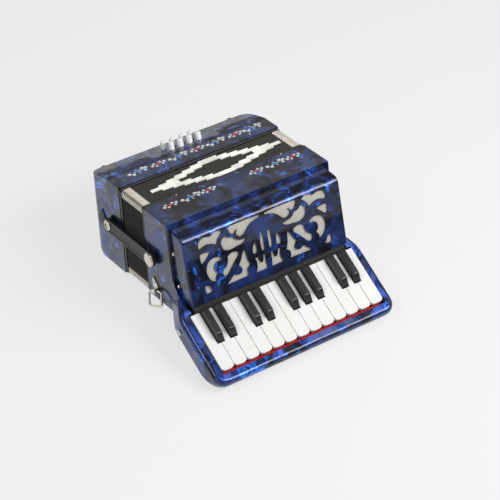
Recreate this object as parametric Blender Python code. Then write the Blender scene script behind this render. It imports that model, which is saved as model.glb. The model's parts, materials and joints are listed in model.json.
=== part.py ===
"""Small piano accordion with 22 keys and 8 chord buttons, closed, lying on its back.

Lengths are in metres. The instrument is drawn in its own axes and then laid on the floor:
X runs along the keyboard, Y from the treble casing to the bass casing, Z from the back to the front.
The keyboard has its own two directions in the Y-Z plane: S runs from the key roots to the tips,
and H stands square on the key tops.
"""
from math import acos, atan2, cos, pi, radians, sin

import bmesh
import bpy
from mathutils import Matrix, Vector

MM = 0.001

# Body
BODY_DEPTH = 134 * MM
TREBLE_WIDTH = 55 * MM
BELLOWS_WIDTH = 62.6 * MM
BASS_WIDTH = 77.2 * MM
CASING_WALL = 4 * MM
BODY_SHORT_OF_KEYS = 2 * MM
EDGE_ROUND = 2.5 * MM
LIP_DEPTH = 10 * MM
LIP_BELOW_GRILLE = 1 * MM
GAP = 0.3 * MM

# Keyboard
KEY_TILT = radians(33.4)
ROOT_Y = -45 * MM
ROOT_Z = 18 * MM
KEY_PITCH = 20 * MM
KEY_GAP = 0.8 * MM
WHITE_COUNT = 13
WHITE_LENGTH = 84.5 * MM
WHITE_TIP_ROUND = 5.5 * MM
WHITE_THICK = 5.5 * MM
KEY_BODY_THICK = 12.5 * MM
KEY_BODY_TOP = -3 * MM
KEY_BODY_INSET = 4 * MM
BLACK_LENGTH = 47.5 * MM
BLACK_SLOPE = 9 * MM
BLACK_HEIGHT = 9.5 * MM
BLACK_WIDTH = 11 * MM
BLACK_TOP_WIDTH = 8.4 * MM
BLACK_CLEARANCE = 0.5 * MM
BLACK_TIP_CLEARANCE = 1 * MM
BLACK_START = 1 * MM
BLACK_EDGE = 1.2 * MM
LEVER_WIDTH = 4 * MM
LEVER_THICK = 4.2 * MM
LEVER_SIDE_PLAY = 1.2 * MM
LEVER_BACK_S = -9 * MM
LEVER_TURN_S = -5 * MM
LEVER_TAPER = 2 * MM
PALLET_WIDTH = 9.6 * MM
PALLET_HEIGHT = 18 * MM
PALLET_THICK = 5 * MM
PALLET_LAP = 0.6 * MM
PALLET_RISE = 0.4 * MM
WHITE_PALLET_Z = 46 * MM
BLACK_PALLET_Z = 70 * MM
AXLE_S = 7 * MM
AXLE_H = -22 * MM
AXLE_RADIUS = 2 * MM
AXLE_CLEARANCE = 0.3 * MM
AXLE_HEAD_RADIUS = 4.2 * MM
AXLE_HEAD_THICK = 2 * MM
AXLE_HEAD_EDGE = 0.8 * MM
AXLE_DOME_RADIUS = 2.6 * MM
AXLE_SLOT_WIDTH = 1.2 * MM
AXLE_SLOT_DEPTH = 1 * MM
AXLE_SLOT_HALF = 2.1 * MM
LUG_WALL = 3.6 * MM
NO_BLACK_AFTER = (3, 6, 10, 13)

# Keyboard surround
RAIL_TOP = -2 * MM
RAIL_WIDTH = 14 * MM
RAIL_CLEARANCE = 0.8 * MM
TIP_CLEARANCE = 4 * MM
SURROUND_THICK = 34 * MM
SURROUND_NEAR_THICK = 29 * MM
RAIL_ROUND = 7 * MM
NEAR_ROUND = 21 * MM
NEAR_FOOT_INSET = 0.4 * MM
CORNER_ROUND = 18 * MM
FLARE_START = -46 * MM
FLARE_END = 6 * MM
FELT_THICK = 2.7 * MM
FELT_WIDTH = 12 * MM
KEY_DIP_ROOM = 4.8 * MM
BED_DEPTH = 30.5 * MM
BED_WALL = 5.5 * MM
BED_FLAT_END = 24 * MM
BED_BACK_S = -3 * MM
BACK_TURN_Y = -7 * MM
BED_SEAM = 1 * MM
WEB_S = -18 * MM
WEB_DROP = 1 * MM
KEEL_ENDS = ((1.5 * MM, 2 * MM, 45 * MM), (0, 5 * MM, 26 * MM))
WALL_LEAN = 6 * MM
FILLET_RADIUS = 24 * MM

# Grille cover
GRILLE_TOP_Z = 125 * MM
GRILLE_TOP_DROP = 2.6 * MM
GRILLE_BOTTOM_Y = -44 * MM
GRILLE_BOTTOM_Z = 28 * MM
GRILLE_LEAN = radians(10.5)
GRILLE_ROUND = 10 * MM
GRILLE_WALL = 2.2 * MM
GRILLE_SIDE_WALL = 1.6 * MM
GRILLE_SIDE_GAP = 0.5 * MM
GRILLE_CUT_OVER = 2 * MM
GRILLE_OPEN_OVER = 5 * MM
CLOTH_THICK = 0.8 * MM
CLOTH_SIDE_GAP = 1 * MM
CLOTH_START = 4.6 * MM
DUST_STRIP_THICK = 2 * MM
DUST_STRIP_HEIGHT = 11.5 * MM

# Treble inside
SOUNDBOARD_Y = 1 * MM
SOUNDBOARD_THICK = 5 * MM
SOUNDBOARD_HOLE_WIDTH = 5.6 * MM
SOUNDBOARD_HOLE_HEIGHT = 13 * MM
REED_BLOCK_LENGTH = 214 * MM
REED_BLOCK_HEIGHT = 30 * MM
REED_BLOCK_THICK = 24 * MM
REED_BLOCK_TAPER = 5 * MM

# Bellows
FRAME_WIDTH = 5 * MM
FRAME_WALL = 9 * MM
FRAME_INSET = 0.6 * MM
FOLD_COUNT = 14
FOLD_DEPTH = 2.4 * MM
FOLD_INSET = 1.6 * MM
FOLD_WALL = 16 * MM
BELLOWS_CORNER = 5 * MM

# Bellows straps and their snaps
STRAP_WIDTH = 21 * MM
STRAP_THICK = 3 * MM
STRAP_Z = 66 * MM
STRAP_STANDOFF = 4 * MM
STRAP_TREBLE_END = 17 * MM
STRAP_BASS_END = 26.4 * MM
STRAP_PAD_RADIUS = 8 * MM
SNAP_RADIUS = 10 * MM
SNAP_HEIGHT = 2.6 * MM

# Shoulder strap brackets and rings
BRACKET_TIP_Y = 42.7 * MM
BRACKET_TIP_Z = 33.2 * MM
BRACKET_SLANT = radians(24)
BRACKET_LENGTH = 18.5 * MM
BRACKET_WIDTH = 13 * MM
BRACKET_THICK = 1.4 * MM
EYE_RADIUS = 3.6 * MM
EYE_BORE = 2 * MM
EYE_WIDTH = 9 * MM
EYE_LIFT = 0.2 * MM
RING_WIRE = 1.5 * MM
RING_WIDTH = 35 * MM
RING_HEIGHT = 20 * MM
RING_CORNER = 4 * MM
RING_LEAN = radians(16)

# Bass casing
BASS_CORNER = 16.5 * MM
SLOPE_START = 32.4 * MM
SLOPE_DROP = 11 * MM
BASS_FAR_ROUND = 8 * MM
END_PLATE_THICK = 3 * MM
BASS_BOARD_INSET = 6 * MM
BASS_HOLE_PITCH = 44 * MM
BASS_HOLE_WIDTH = 8 * MM
BASS_HOLE_HEIGHT = 14 * MM
BASS_HOLE_RISE = 16 * MM
BUTTON_RADIUS = 4.2 * MM
BUTTON_STAND = 10.5 * MM
BUTTON_STEM = 8 * MM
BUTTON_CAP_ROUND = 2 * MM
BUTTON_CLEARANCE = 0.4 * MM
BUTTON_PITCH = 14.6 * MM
BUTTON_ROWS = 2
BUTTONS_IN_ROW = 4
BUTTON_ROW_PITCH = 13 * MM
BUTTON_ROW_SHIFT = -4.8 * MM
BUTTON_X = -15 * MM
BUTTON_ALONG_SLOPE = 14.5 * MM
FOOT_RADIUS = 7 * MM
FOOT_TIP_RADIUS = 5 * MM
FOOT_HEIGHT = 8 * MM
FOOT_END_INSET = 26 * MM
FOOT_BACK_INSET = 22 * MM
FOOT_FRONT_INSET = 19.5 * MM
AIR_X = -78 * MM
AIR_Z = 96 * MM
AIR_RADIUS = 7 * MM
AIR_STAND = 6.5 * MM
AIR_STEM_RADIUS = 3 * MM
AIR_STEM = 10 * MM
AIR_CAP_THICK = 2 * MM
HAND_STRAP_WIDTH = 46 * MM
HAND_STRAP_THICK = 3.5 * MM
HAND_STRAP_BOW = 22 * MM
HAND_STRAP_BLUNTNESS = 0.8
HAND_STRAP_Z = 62 * MM
HAND_STRAP_LENGTH = 206 * MM

# Values that follow from those above
HALF = (WHITE_COUNT * KEY_PITCH - BODY_SHORT_OF_KEYS) / 2
BELLOWS_Y = TREBLE_WIDTH
BASS_Y = TREBLE_WIDTH + BELLOWS_WIDTH
FAR_Y = BASS_Y + BASS_WIDTH
KEY_BLOCK_HALF = WHITE_COUNT * KEY_PITCH / 2
POCKET_HALF = KEY_BLOCK_HALF + RAIL_CLEARANCE - KEY_GAP / 2
SURROUND_HALF = POCKET_HALF + RAIL_WIDTH
INNER_HALF = HALF - CASING_WALL
LIP_Z = GRILLE_TOP_Z - LIP_BELOW_GRILLE
POCKET_END = WHITE_LENGTH + TIP_CLEARANCE
NEAR_END = POCKET_END + RAIL_WIDTH
FELT_TOP = -(WHITE_THICK + KEY_DIP_ROOM)
LEDGE_H = FELT_TOP - FELT_THICK - GAP
SEAM_Y = BACK_TURN_Y - BED_SEAM
GRILLE_HALF = INNER_HALF - GRILLE_SIDE_GAP
SLOPE_Y = BASS_Y + SLOPE_START
SLOPE_ANGLE = atan2(SLOPE_DROP, BASS_WIDTH - SLOPE_START)
SLOPE_NORMAL = (0, sin(SLOPE_ANGLE), cos(SLOPE_ANGLE))
BRACKET_UP = (0, sin(BRACKET_SLANT), cos(BRACKET_SLANT))
BRACKET_ALONG = (0, cos(BRACKET_SLANT), -sin(BRACKET_SLANT))
EYE_Y = BRACKET_TIP_Y - BRACKET_LENGTH * BRACKET_UP[1]
EYE_Z = BRACKET_TIP_Z - BRACKET_LENGTH * BRACKET_UP[2]
CUT_REACH = 60 * MM

COLOURS = {
    "celluloid": ((0.012, 0.025, 0.16), 0.12, 0.0),
    "white_celluloid": ((0.86, 0.86, 0.82), 0.25, 0.0),
    "black_plastic": ((0.012, 0.012, 0.011), 0.35, 0.0),
    "grille_cloth": ((0.26, 0.25, 0.21), 0.85, 0.0),
    "black_felt": ((0.008, 0.007, 0.006), 0.95, 0.0),
    "red_felt": ((0.42, 0.004, 0.006), 0.95, 0.0),
    "nickel": ((0.72, 0.68, 0.6), 0.22, 1.0),
    "bellows_cloth": ((0.02, 0.02, 0.017), 0.7, 0.0),
    "leather": ((0.014, 0.013, 0.012), 0.5, 0.0),
    "pearl_plastic": ((0.8, 0.82, 0.84), 0.2, 0.0),
    "rubber": ((0.012, 0.012, 0.012), 0.8, 0.0),
    "wood": ((0.5, 0.33, 0.17), 0.6, 0.0),
}

for old in list(bpy.data.objects):
    bpy.data.objects.remove(old, do_unlink=True)

instrument = bpy.data.objects.new("instrument", None)
bpy.context.scene.collection.objects.link(instrument)


def material(name):
    """The named finish as a Principled material, made once."""
    if name in bpy.data.materials:
        return bpy.data.materials[name]
    colour, roughness, metallic = COLOURS[name]
    made = bpy.data.materials.new(name)
    made.use_nodes = True
    shader = made.node_tree.nodes["Principled BSDF"]
    shader.inputs["Base Color"].default_value = (*colour, 1)
    shader.inputs["Roughness"].default_value = roughness
    shader.inputs["Metallic"].default_value = metallic
    made.diffuse_color = (*colour, 1)
    return made


def add_object(name, bm, finish, origin=(0, 0, 0), smooth=False):
    """Turns a bmesh drawn in the instrument's axes into an object whose origin is at the given point."""
    bmesh.ops.translate(bm, verts=bm.verts, vec=-Vector(origin))
    bmesh.ops.recalc_face_normals(bm, faces=bm.faces)
    mesh = bpy.data.meshes.new(name)
    bm.to_mesh(mesh)
    bm.free()
    if smooth:
        mesh.shade_smooth()
        mesh.set_sharp_from_angle(angle=radians(40))
    made = bpy.data.objects.new(name, mesh)
    bpy.context.scene.collection.objects.link(made)
    made.parent = instrument
    made.location = origin
    if finish:
        mesh.materials.append(material(finish))
    else:
        made.hide_render = True
        made.display_type = "WIRE"
    return made


def combine(target, tool, operation):
    """Adds a Boolean to the target; the tool is a hidden helper."""
    modifier = target.modifiers.new(operation.title(), "BOOLEAN")
    modifier.operation = operation
    modifier.object = tool
    modifier.solver = "EXACT"


def add_skin(bm, rows):
    """Quads between each ring of points and the next."""
    count = len(rows[0])
    for row, following in zip(rows, rows[1:]):
        for i in range(count):
            j = (i + 1) % count
            bm.faces.new((row[i], row[j], following[j], following[i]))


def add_loft(bm, rings):
    """Joins rings of equally many points into one closed body with flat ends."""
    rows = [[bm.verts.new(point) for point in ring] for ring in rings]
    add_skin(bm, rows)
    bm.faces.new(reversed(rows[0]))
    bm.faces.new(rows[-1])


def add_frame(bm, rings):
    """Joins rings of equally many points into a body that closes on itself, with a hole through it."""
    rows = [[bm.verts.new(point) for point in ring] for ring in rings]
    add_skin(bm, rows + rows[:1])


def add_prism(bm, outline, low, high, spread=(1, 0, 0)):
    """An outline swept from low to high along the spread direction."""
    spread = Vector(spread)
    add_loft(bm, [[Vector(p) + spread * d for p in outline] for d in (low, high)])


def add_block(bm, low, high):
    (x0, y0, z0), (x1, y1, z1) = low, high
    outline = [(0, y0, z0), (0, y1, z0), (0, y1, z1), (0, y0, z1)]
    add_prism(bm, outline, x0, x1)


def side(points):
    """Points (y, z) as 3-D points at x = 0."""
    return [(0, y, z) for y, z in points]


def key(s, h):
    """The (y, z) of a point given along and above the keyboard."""
    y = ROOT_Y - s * cos(KEY_TILT) - h * sin(KEY_TILT)
    z = ROOT_Z - s * sin(KEY_TILT) + h * cos(KEY_TILT)
    return y, z


def arc(centre, radius, start, end, steps):
    """Points on an arc, in degrees, both ends included."""
    points = []
    for i in range(steps + 1):
        angle = radians(start + (end - start) * i / steps)
        points.append((centre[0] + radius * cos(angle), centre[1] + radius * sin(angle)))
    return points


def rounded(corner, before, after, radius, steps):
    """The arc that rounds a corner of an outline, given the points on both sides of it."""
    c, a, b = (Vector(p) for p in (corner, before, after))
    u = (a - c).normalized()
    v = (b - c).normalized()
    half = acos(max(-1, min(1, u.dot(v)))) / 2
    centre = c + (u + v).normalized() * radius / sin(half)
    first = c + u * radius * cos(half) / sin(half) - centre
    last = c + v * radius * cos(half) / sin(half) - centre
    turn = first.angle_signed(last)
    points = []
    for i in range(steps + 1):
        arm = first.copy()
        arm.rotate(Matrix.Rotation(-turn * i / steps, 2))
        points.append(tuple(centre + arm))
    return points


def lathe(bm, profile, centre, axis, steps):
    """A closed body turned about an axis through the centre: (distance along, radius) from end to end."""
    axis = Vector(axis).normalized()
    across = axis.orthogonal().normalized()
    other = axis.cross(across)
    rings = []
    for along, radius in profile:
        ring = []
        for i in range(steps):
            angle = 2 * pi * i / steps
            arm = across * cos(angle) + other * sin(angle)
            ring.append(Vector(centre) + axis * along + arm * radius)
        rings.append(ring)
    add_loft(bm, rings)


# Treble casing


def surround_outline(inset, near_end):
    """Plan outline (x, s) of the keyboard surround: flared cheeks, straight rails, rounded near corners."""
    half = SURROUND_HALF - inset
    flare_steps = 6
    left = []
    for i in range(flare_steps + 1):
        t = i / flare_steps
        s = FLARE_START + (FLARE_END - FLARE_START) * t
        ease = t * t * (3 - 2 * t)
        width = (HALF - CASING_WALL / 2) + (SURROUND_HALF - HALF + CASING_WALL / 2) * ease
        left.append((-(width - inset), s))
    radius = CORNER_ROUND - inset
    corner = arc((-half + radius, near_end - radius), radius, 180, 90, 5)
    left += corner
    right = [(-x, s) for x, s in reversed(left)]
    return left + right


def surround_levels():
    """(h, inset all round, near end) for each level of the surround, from the top to the bottom."""
    levels = []
    for h, depth in arc((0, 0), RAIL_ROUND, 90, 0, 4):
        levels.append((RAIL_TOP - RAIL_ROUND + depth, RAIL_ROUND - h, NEAR_END - RAIL_ROUND + h))
    near_bottom = RAIL_TOP - SURROUND_NEAR_THICK
    centre_h = near_bottom + NEAR_ROUND
    for reach, depth in arc((0, 0), NEAR_ROUND, 0, 90, 5)[:-1]:
        levels.append((centre_h - depth, 0, NEAR_END - NEAR_ROUND + reach))
    levels.append((near_bottom, NEAR_FOOT_INSET, NEAR_END - NEAR_ROUND))
    bottom = RAIL_TOP - SURROUND_THICK
    for rise, inset, near_end in KEEL_ENDS:
        levels.append((bottom + rise, inset, near_end))
    return levels


def build_treble_casing():
    """The wooden box of the treble side, and the keyboard bed that is glued to its front."""
    wall_foot = key(FLARE_START, RAIL_TOP)
    knee = (-WALL_LEAN, wall_foot[1])
    on_rail = key(0, RAIL_TOP)
    outline = [(TREBLE_WIDTH, BODY_DEPTH), (0, BODY_DEPTH)]
    outline += rounded(knee, (0, BODY_DEPTH), on_rail, FILLET_RADIUS, 5)
    outline += [key(WEB_S, RAIL_TOP - WEB_DROP), key(WEB_S, -BED_DEPTH)]
    outline += [(BACK_TURN_Y, 0), (TREBLE_WIDTH, 0)]
    form = bmesh.new()
    add_prism(form, side(outline), -HALF, HALF)
    above = wall_foot[1] - FILLET_RADIUS / 2
    rim = []
    for edge in form.edges:
        a, b = (vert.co for vert in edge.verts)
        on_end = abs(a.x - b.x) < MM
        at_bellows = min(a.y, b.y) > TREBLE_WIDTH - MM
        outer = min(a.z, b.z) > above or max(a.z, b.z) < MM
        if on_end and outer and not at_bellows:
            rim.append(edge)
    bmesh.ops.bevel(form, geom=rim, offset=EDGE_ROUND, segments=2, profile=0.5, affect="EDGES")

    tools = []
    bm = bmesh.new()
    rings = []
    for h, inset, near_end in surround_levels():
        rings.append([(x, *key(s, h)) for x, s in surround_outline(inset, near_end)])
    add_loft(bm, rings)
    tools.append((add_object("surround_form", bm, None), "UNION"))

    bed_end = WHITE_LENGTH - FELT_WIDTH + TIP_CLEARANCE - GAP
    pocket = [
        key(POCKET_END, CUT_REACH),
        key(POCKET_END, LEDGE_H),
        key(bed_end, LEDGE_H),
        key(bed_end, -(SURROUND_NEAR_THICK - RAIL_TOP) + BED_WALL),
        key(BED_FLAT_END, -BED_DEPTH),
    ]
    bed_slope = (ROOT_Z - BED_DEPTH * cos(KEY_TILT) - CASING_WALL) / sin(KEY_TILT)
    narrow = pocket + [
        key(bed_slope, -BED_DEPTH),
        (TREBLE_WIDTH + CUT_REACH, CASING_WALL),
        (TREBLE_WIDTH + CUT_REACH, BODY_DEPTH - CASING_WALL),
        (LIP_DEPTH, BODY_DEPTH - CASING_WALL),
        (LIP_DEPTH, LIP_Z),
        (0, LIP_Z),
        (0, BODY_DEPTH + CUT_REACH),
    ]
    wide = pocket + [key(BED_BACK_S, -BED_DEPTH), key(BED_BACK_S, CUT_REACH)]
    bm = bmesh.new()
    add_prism(bm, side(narrow), -INNER_HALF, INNER_HALF)
    tools.append((add_object("valve_chamber_cutter", bm, None), "DIFFERENCE"))
    bm = bmesh.new()
    add_prism(bm, side(wide), -POCKET_HALF, POCKET_HALF)
    tools.append((add_object("key_pocket_cutter", bm, None), "DIFFERENCE"))
    bm = bmesh.new()
    bore = AXLE_RADIUS + AXLE_CLEARANCE
    reach = SURROUND_HALF + CUT_REACH
    lathe(bm, [(-reach, bore), (reach, bore)], (0, *key(AXLE_S, AXLE_H)), (1, 0, 0), 16)
    tools.append((add_object("axle_bore_cutter", bm, None), "DIFFERENCE"))

    far = NEAR_END + TREBLE_WIDTH + CUT_REACH
    beyond = {"treble_casing": (-far, SEAM_Y + GAP), "keyboard_bed": (SEAM_Y, far)}
    for name, (low, high) in beyond.items():
        made = add_object(name, form.copy(), "celluloid", smooth=True)
        for tool, operation in tools:
            combine(made, tool, operation)
        bm = bmesh.new()
        add_block(bm, (-reach, low, -far), (reach, high, BODY_DEPTH + far))
        combine(made, add_object(name + "_seam_cutter", bm, None), "DIFFERENCE")
    form.free()


# Keyboard


def white_has_black(index):
    """Whether white key number index (from 1) has a black key on its left and on its right."""
    left = index > 1 and index - 1 not in NO_BLACK_AFTER
    right = index not in NO_BLACK_AFTER
    return left, right


def boundary_x(index):
    return -KEY_BLOCK_HALF + index * KEY_PITCH


def lever_outline(front, pallet_z, top_h):
    """Side outline of a key's wooden lever: front end, notch over the axle, arm up to the pallet."""
    bottom = -KEY_BODY_THICK
    notch = AXLE_RADIUS + AXLE_CLEARANCE
    lug = notch + LUG_WALL
    arm_back = SOUNDBOARD_Y - GAP - PALLET_THICK
    pallet_top = pallet_z + PALLET_HEIGHT / 2
    points = [key(front, top_h), key(front, bottom), key(AXLE_S + lug, bottom)]
    points += [key(AXLE_S + lug, AXLE_H - notch), key(AXLE_S + notch, AXLE_H - notch)]
    points += [key(AXLE_S + ds, AXLE_H + dh) for ds, dh in arc((0, 0), notch, 0, 180, 6)]
    points += [key(AXLE_S - notch, AXLE_H - notch), key(AXLE_S - lug, AXLE_H - notch)]
    points += [key(AXLE_S - lug, bottom), key(LEVER_BACK_S, bottom)]
    arm_foot = WHITE_PALLET_Z - PALLET_HEIGHT / 2 - LEVER_THICK
    points += [(arm_back, arm_foot), (arm_back, pallet_top), (arm_back - LEVER_THICK, pallet_top)]
    points += [(arm_back - LEVER_THICK - LEVER_TAPER, arm_foot + LEVER_TAPER), key(LEVER_TURN_S, top_h)]
    return points


def build_key(name, finish, bm_top, centre_x, front, pallet_z, top_h):
    """A key's top with its lever and pallet joined to it; its origin lies on the key axle."""
    axle = Vector((0, *key(AXLE_S, AXLE_H)))
    limit = GRILLE_HALF - GRILLE_WALL - GAP - PALLET_WIDTH / 2
    lever_limit = limit + LEVER_SIDE_PLAY
    lever_x = max(-lever_limit, min(lever_limit, centre_x))
    pallet_x = max(-limit, min(limit, centre_x))
    made = add_object(name, bm_top, finish, axle, smooth=True)
    bm = bmesh.new()
    outline = side(lever_outline(front, pallet_z, top_h))
    add_prism(bm, outline, lever_x - LEVER_WIDTH / 2, lever_x + LEVER_WIDTH / 2)
    combine(made, add_object(name + "_lever", bm, None, axle), "UNION")
    bm = bmesh.new()
    back = SOUNDBOARD_Y - GAP
    low = (pallet_x - PALLET_WIDTH / 2, back - PALLET_THICK - PALLET_LAP, pallet_z - PALLET_HEIGHT / 2)
    high = (pallet_x + PALLET_WIDTH / 2, back, pallet_z + PALLET_HEIGHT / 2 + PALLET_RISE)
    add_block(bm, low, high)
    combine(made, add_object(name + "_pallet", bm, None, axle), "UNION")
    return pallet_x


def white_top(index):
    """The white key's celluloid top: rounded tip, notched beside the black keys."""
    x0 = boundary_x(index - 1) + KEY_GAP / 2
    x1 = boundary_x(index) - KEY_GAP / 2
    has_left, has_right = white_has_black(index)
    notch = BLACK_WIDTH / 2 + BLACK_CLEARANCE - KEY_GAP / 2
    shoulder = BLACK_LENGTH + BLACK_TIP_CLEARANCE
    tail0 = x0 + notch if has_left else x0
    tail1 = x1 - notch if has_right else x1
    plan = [(tail0, 0)]
    if has_left:
        plan += [(tail0, shoulder), (x0, shoulder)]
    plan += arc((x0 + WHITE_TIP_ROUND, WHITE_LENGTH - WHITE_TIP_ROUND), WHITE_TIP_ROUND, 180, 90, 4)
    plan += arc((x1 - WHITE_TIP_ROUND, WHITE_LENGTH - WHITE_TIP_ROUND), WHITE_TIP_ROUND, 90, 0, 4)
    if has_right:
        plan += [(x1, shoulder), (tail1, shoulder)]
    plan += [(tail1, 0)]
    bm = bmesh.new()
    add_loft(bm, [[(x, *key(s, h)) for x, s in plan] for h in (0, -WHITE_THICK)])
    return bm, (tail0 + tail1) / 2


def black_top(centre_x):
    """The raised black key: sides drawn in towards the top, front end sloped."""
    slope_start = BLACK_LENGTH - BLACK_SLOPE
    outline = [
        (BLACK_START, -WHITE_THICK),
        (BLACK_START, BLACK_HEIGHT - BLACK_EDGE),
        (BLACK_START + BLACK_EDGE, BLACK_HEIGHT),
        (slope_start - BLACK_EDGE, BLACK_HEIGHT),
        (slope_start + BLACK_EDGE / 2, BLACK_HEIGHT - BLACK_EDGE),
        (BLACK_LENGTH - BLACK_EDGE, BLACK_EDGE),
        (BLACK_LENGTH, -WHITE_THICK),
    ]
    rings = []
    for edge in (-1, 1):
        ring = []
        for s, h in outline:
            share = max(0, h) / BLACK_HEIGHT
            width = BLACK_WIDTH + (BLACK_TOP_WIDTH - BLACK_WIDTH) * share
            ring.append((centre_x + edge * width / 2, *key(s, h)))
        rings.append(ring)
    bm = bmesh.new()
    add_loft(bm, rings)
    return bm


def build_keys():
    """All keys; returns the (x, z) of each pallet."""
    pallets = []
    lever_front = WHITE_LENGTH - FELT_WIDTH - KEY_BODY_INSET
    for index in range(1, WHITE_COUNT + 1):
        bm, centre_x = white_top(index)
        x = build_key(f"white_key_{index:02d}", "white_celluloid", bm, centre_x, lever_front,
                      WHITE_PALLET_Z, KEY_BODY_TOP)
        pallets.append((x, WHITE_PALLET_Z))
    number = 0
    for index in range(1, WHITE_COUNT):
        if index in NO_BLACK_AFTER:
            continue
        number += 1
        x = boundary_x(index)
        x = build_key(f"black_key_{number:02d}", "black_plastic", black_top(x), x,
                      BLACK_LENGTH - KEY_BODY_INSET, BLACK_PALLET_Z, KEY_BODY_TOP)
        pallets.append((x, BLACK_PALLET_Z))
    return pallets


def build_key_felt():
    bm = bmesh.new()
    start = POCKET_END - FELT_WIDTH
    end = POCKET_END - GAP
    outline = [key(start, FELT_TOP), key(end, FELT_TOP), key(end, FELT_TOP - FELT_THICK),
               key(start, FELT_TOP - FELT_THICK)]
    add_prism(bm, side(outline), -POCKET_HALF + GAP, POCKET_HALF - GAP)
    add_object("key_felt", bm, "red_felt")


def build_key_axle():
    """Steel rod through both rails, with a slotted screw head at each end."""
    bm = bmesh.new()
    face = SURROUND_HALF + GAP
    crown = face + AXLE_HEAD_THICK
    edge_end = face + AXLE_HEAD_EDGE
    head = [(face, AXLE_RADIUS), (face, AXLE_HEAD_RADIUS), (edge_end, AXLE_HEAD_RADIUS),
            (crown, AXLE_DOME_RADIUS)]
    profile = [(-along, radius) for along, radius in reversed(head)] + head
    axle = Vector((0, *key(AXLE_S, AXLE_H)))
    lathe(bm, profile, axle, (1, 0, 0), 16)
    rod = add_object("key_axle", bm, "nickel", axle, smooth=True)
    bm = bmesh.new()
    reach, half = AXLE_SLOT_HALF, AXLE_SLOT_WIDTH / 2
    for low, high in ((-crown - GAP, -crown + AXLE_SLOT_DEPTH), (crown - AXLE_SLOT_DEPTH, crown + GAP)):
        add_block(bm, (low, axle.y - reach, axle.z - half), (high, axle.y + reach, axle.z + half))
    combine(rod, add_object("axle_slot_cutter", bm, None, axle), "DIFFERENCE")


# Grille cover, its cloth and the dust strip

# Cut-outs of the left half, as (x from the middle, height up the face) in millimetres
LEAF = [(-101, 74), (-101, 81.5), (-96.5, 87), (-89, 88.5), (-81.5, 86.3), (-75.5, 89.8), (-68, 90),
        (-62, 86.5), (-68.5, 81), (-73.5, 71.8), (-82, 76), (-90, 77), (-97, 75)]
SMALL_LEAF = [(-100.5, 66.5), (-94, 67.5), (-84, 66), (-90.5, 59.3), (-96, 55), (-100, 54.5), (-101, 60)]
CRESCENT = [(-67.8, 48.5), (-74, 54.8), (-83, 55.8), (-90.3, 52.3), (-94.3, 45), (-94.3, 35.5), (-90, 27),
            (-82, 21.5), (-82, 28), (-78, 33.3), (-82, 39), (-81.5, 45), (-78, 48.3), (-74, 48.8)]
TRIANGLE = [(-99.3, 22.2), (-89.6, 12.3), (-99, 11.2), (-101, 17.4)]
TOP_LEAF = [(-55, 87.5), (-49, 90.3), (-24, 90), (-3, 88.8), (-3.4, 86), (-11.5, 84.3), (-21.5, 80.3),
            (-27.7, 74.2), (-33.5, 70.2), (-39.5, 71.2), (-43, 75.3), (-41, 81.5), (-47.5, 77)]
COMMA = [(-60, 79.8), (-54.5, 74.7), (-48.3, 73.3), (-42.8, 67.3), (-36, 65.6), (-28.3, 64.5), (-33.5, 60.3),
         (-44.5, 58.4), (-55, 57.5), (-62.8, 60), (-66.8, 66.5), (-66.5, 74)]
SLANTED_LEAF = [(-53, 53.3), (-44, 51), (-43.4, 47.5), (-50, 40.4), (-57.5, 32.2), (-68, 24.5), (-71, 27),
                (-70.8, 32.8), (-64.8, 37.2), (-61.8, 43.5), (-60.8, 50.5)]
SPIKED_LEAF = [(-33.5, 51.5), (-32.5, 42), (-31.3, 34.3), (-28.4, 26), (-33.7, 22.3), (-33.2, 12),
               (-69, 11.5), (-61.2, 17.4), (-55.4, 23.2), (-49.7, 19.3), (-43.3, 21.7), (-42.6, 26.7),
               (-46.4, 32), (-41.8, 39), (-37.8, 47)]
OUTER_STRING = [(-16.5, 56.5), (-15.4, 47), (-15.4, 38.2), (-22.6, 38.2), (-21.7, 48)]
INNER_STRING = [(-8, 64.5), (-4.7, 64.5), (-3.4, 58), (-3.6, 38.4), (-8.4, 38.2), (-9.2, 50)]
LYRE_FOOT = [(-20.5, 32.4), (-15.5, 32.4), (-14, 26.3), (-11.3, 22.6), (-9, 25.5), (-8.2, 32.3), (-4.4, 32.3),
             (-4, 17.5), (-3.2, 11.3), (-22, 11.7), (-19.2, 18.7), (-19, 25.5)]
CUT_OUTS = (LEAF, SMALL_LEAF, CRESCENT, TRIANGLE, TOP_LEAF, COMMA, SLANTED_LEAF, SPIKED_LEAF, OUTER_STRING,
            INNER_STRING, LYRE_FOOT)


def grille_face(b, depth=0.0):
    """The (y, z) of a point up the steep face of the grille, sunk below it by depth."""
    y = GRILLE_BOTTOM_Y + b * sin(GRILLE_LEAN) + depth * cos(GRILLE_LEAN)
    z = GRILLE_BOTTOM_Z + b * cos(GRILLE_LEAN) - depth * sin(GRILLE_LEAN)
    return y, z


def grille_profile(depth):
    """Side profile of the cover, from its back edge over the crest to its lower edge, sunk by depth."""
    start = (-GAP * 2, GRILLE_TOP_Z - depth)
    corner_b = (GRILLE_TOP_Z - GRILLE_TOP_DROP - depth - grille_face(0, depth)[1]) / cos(GRILLE_LEAN)
    corner = grille_face(corner_b, depth)
    low_b = (GRILLE_BOTTOM_Z - grille_face(0, depth)[1]) / cos(GRILLE_LEAN)
    low = grille_face(low_b, depth)
    return [start] + rounded(corner, start, low, GRILLE_ROUND - depth, 6) + [low]


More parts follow.
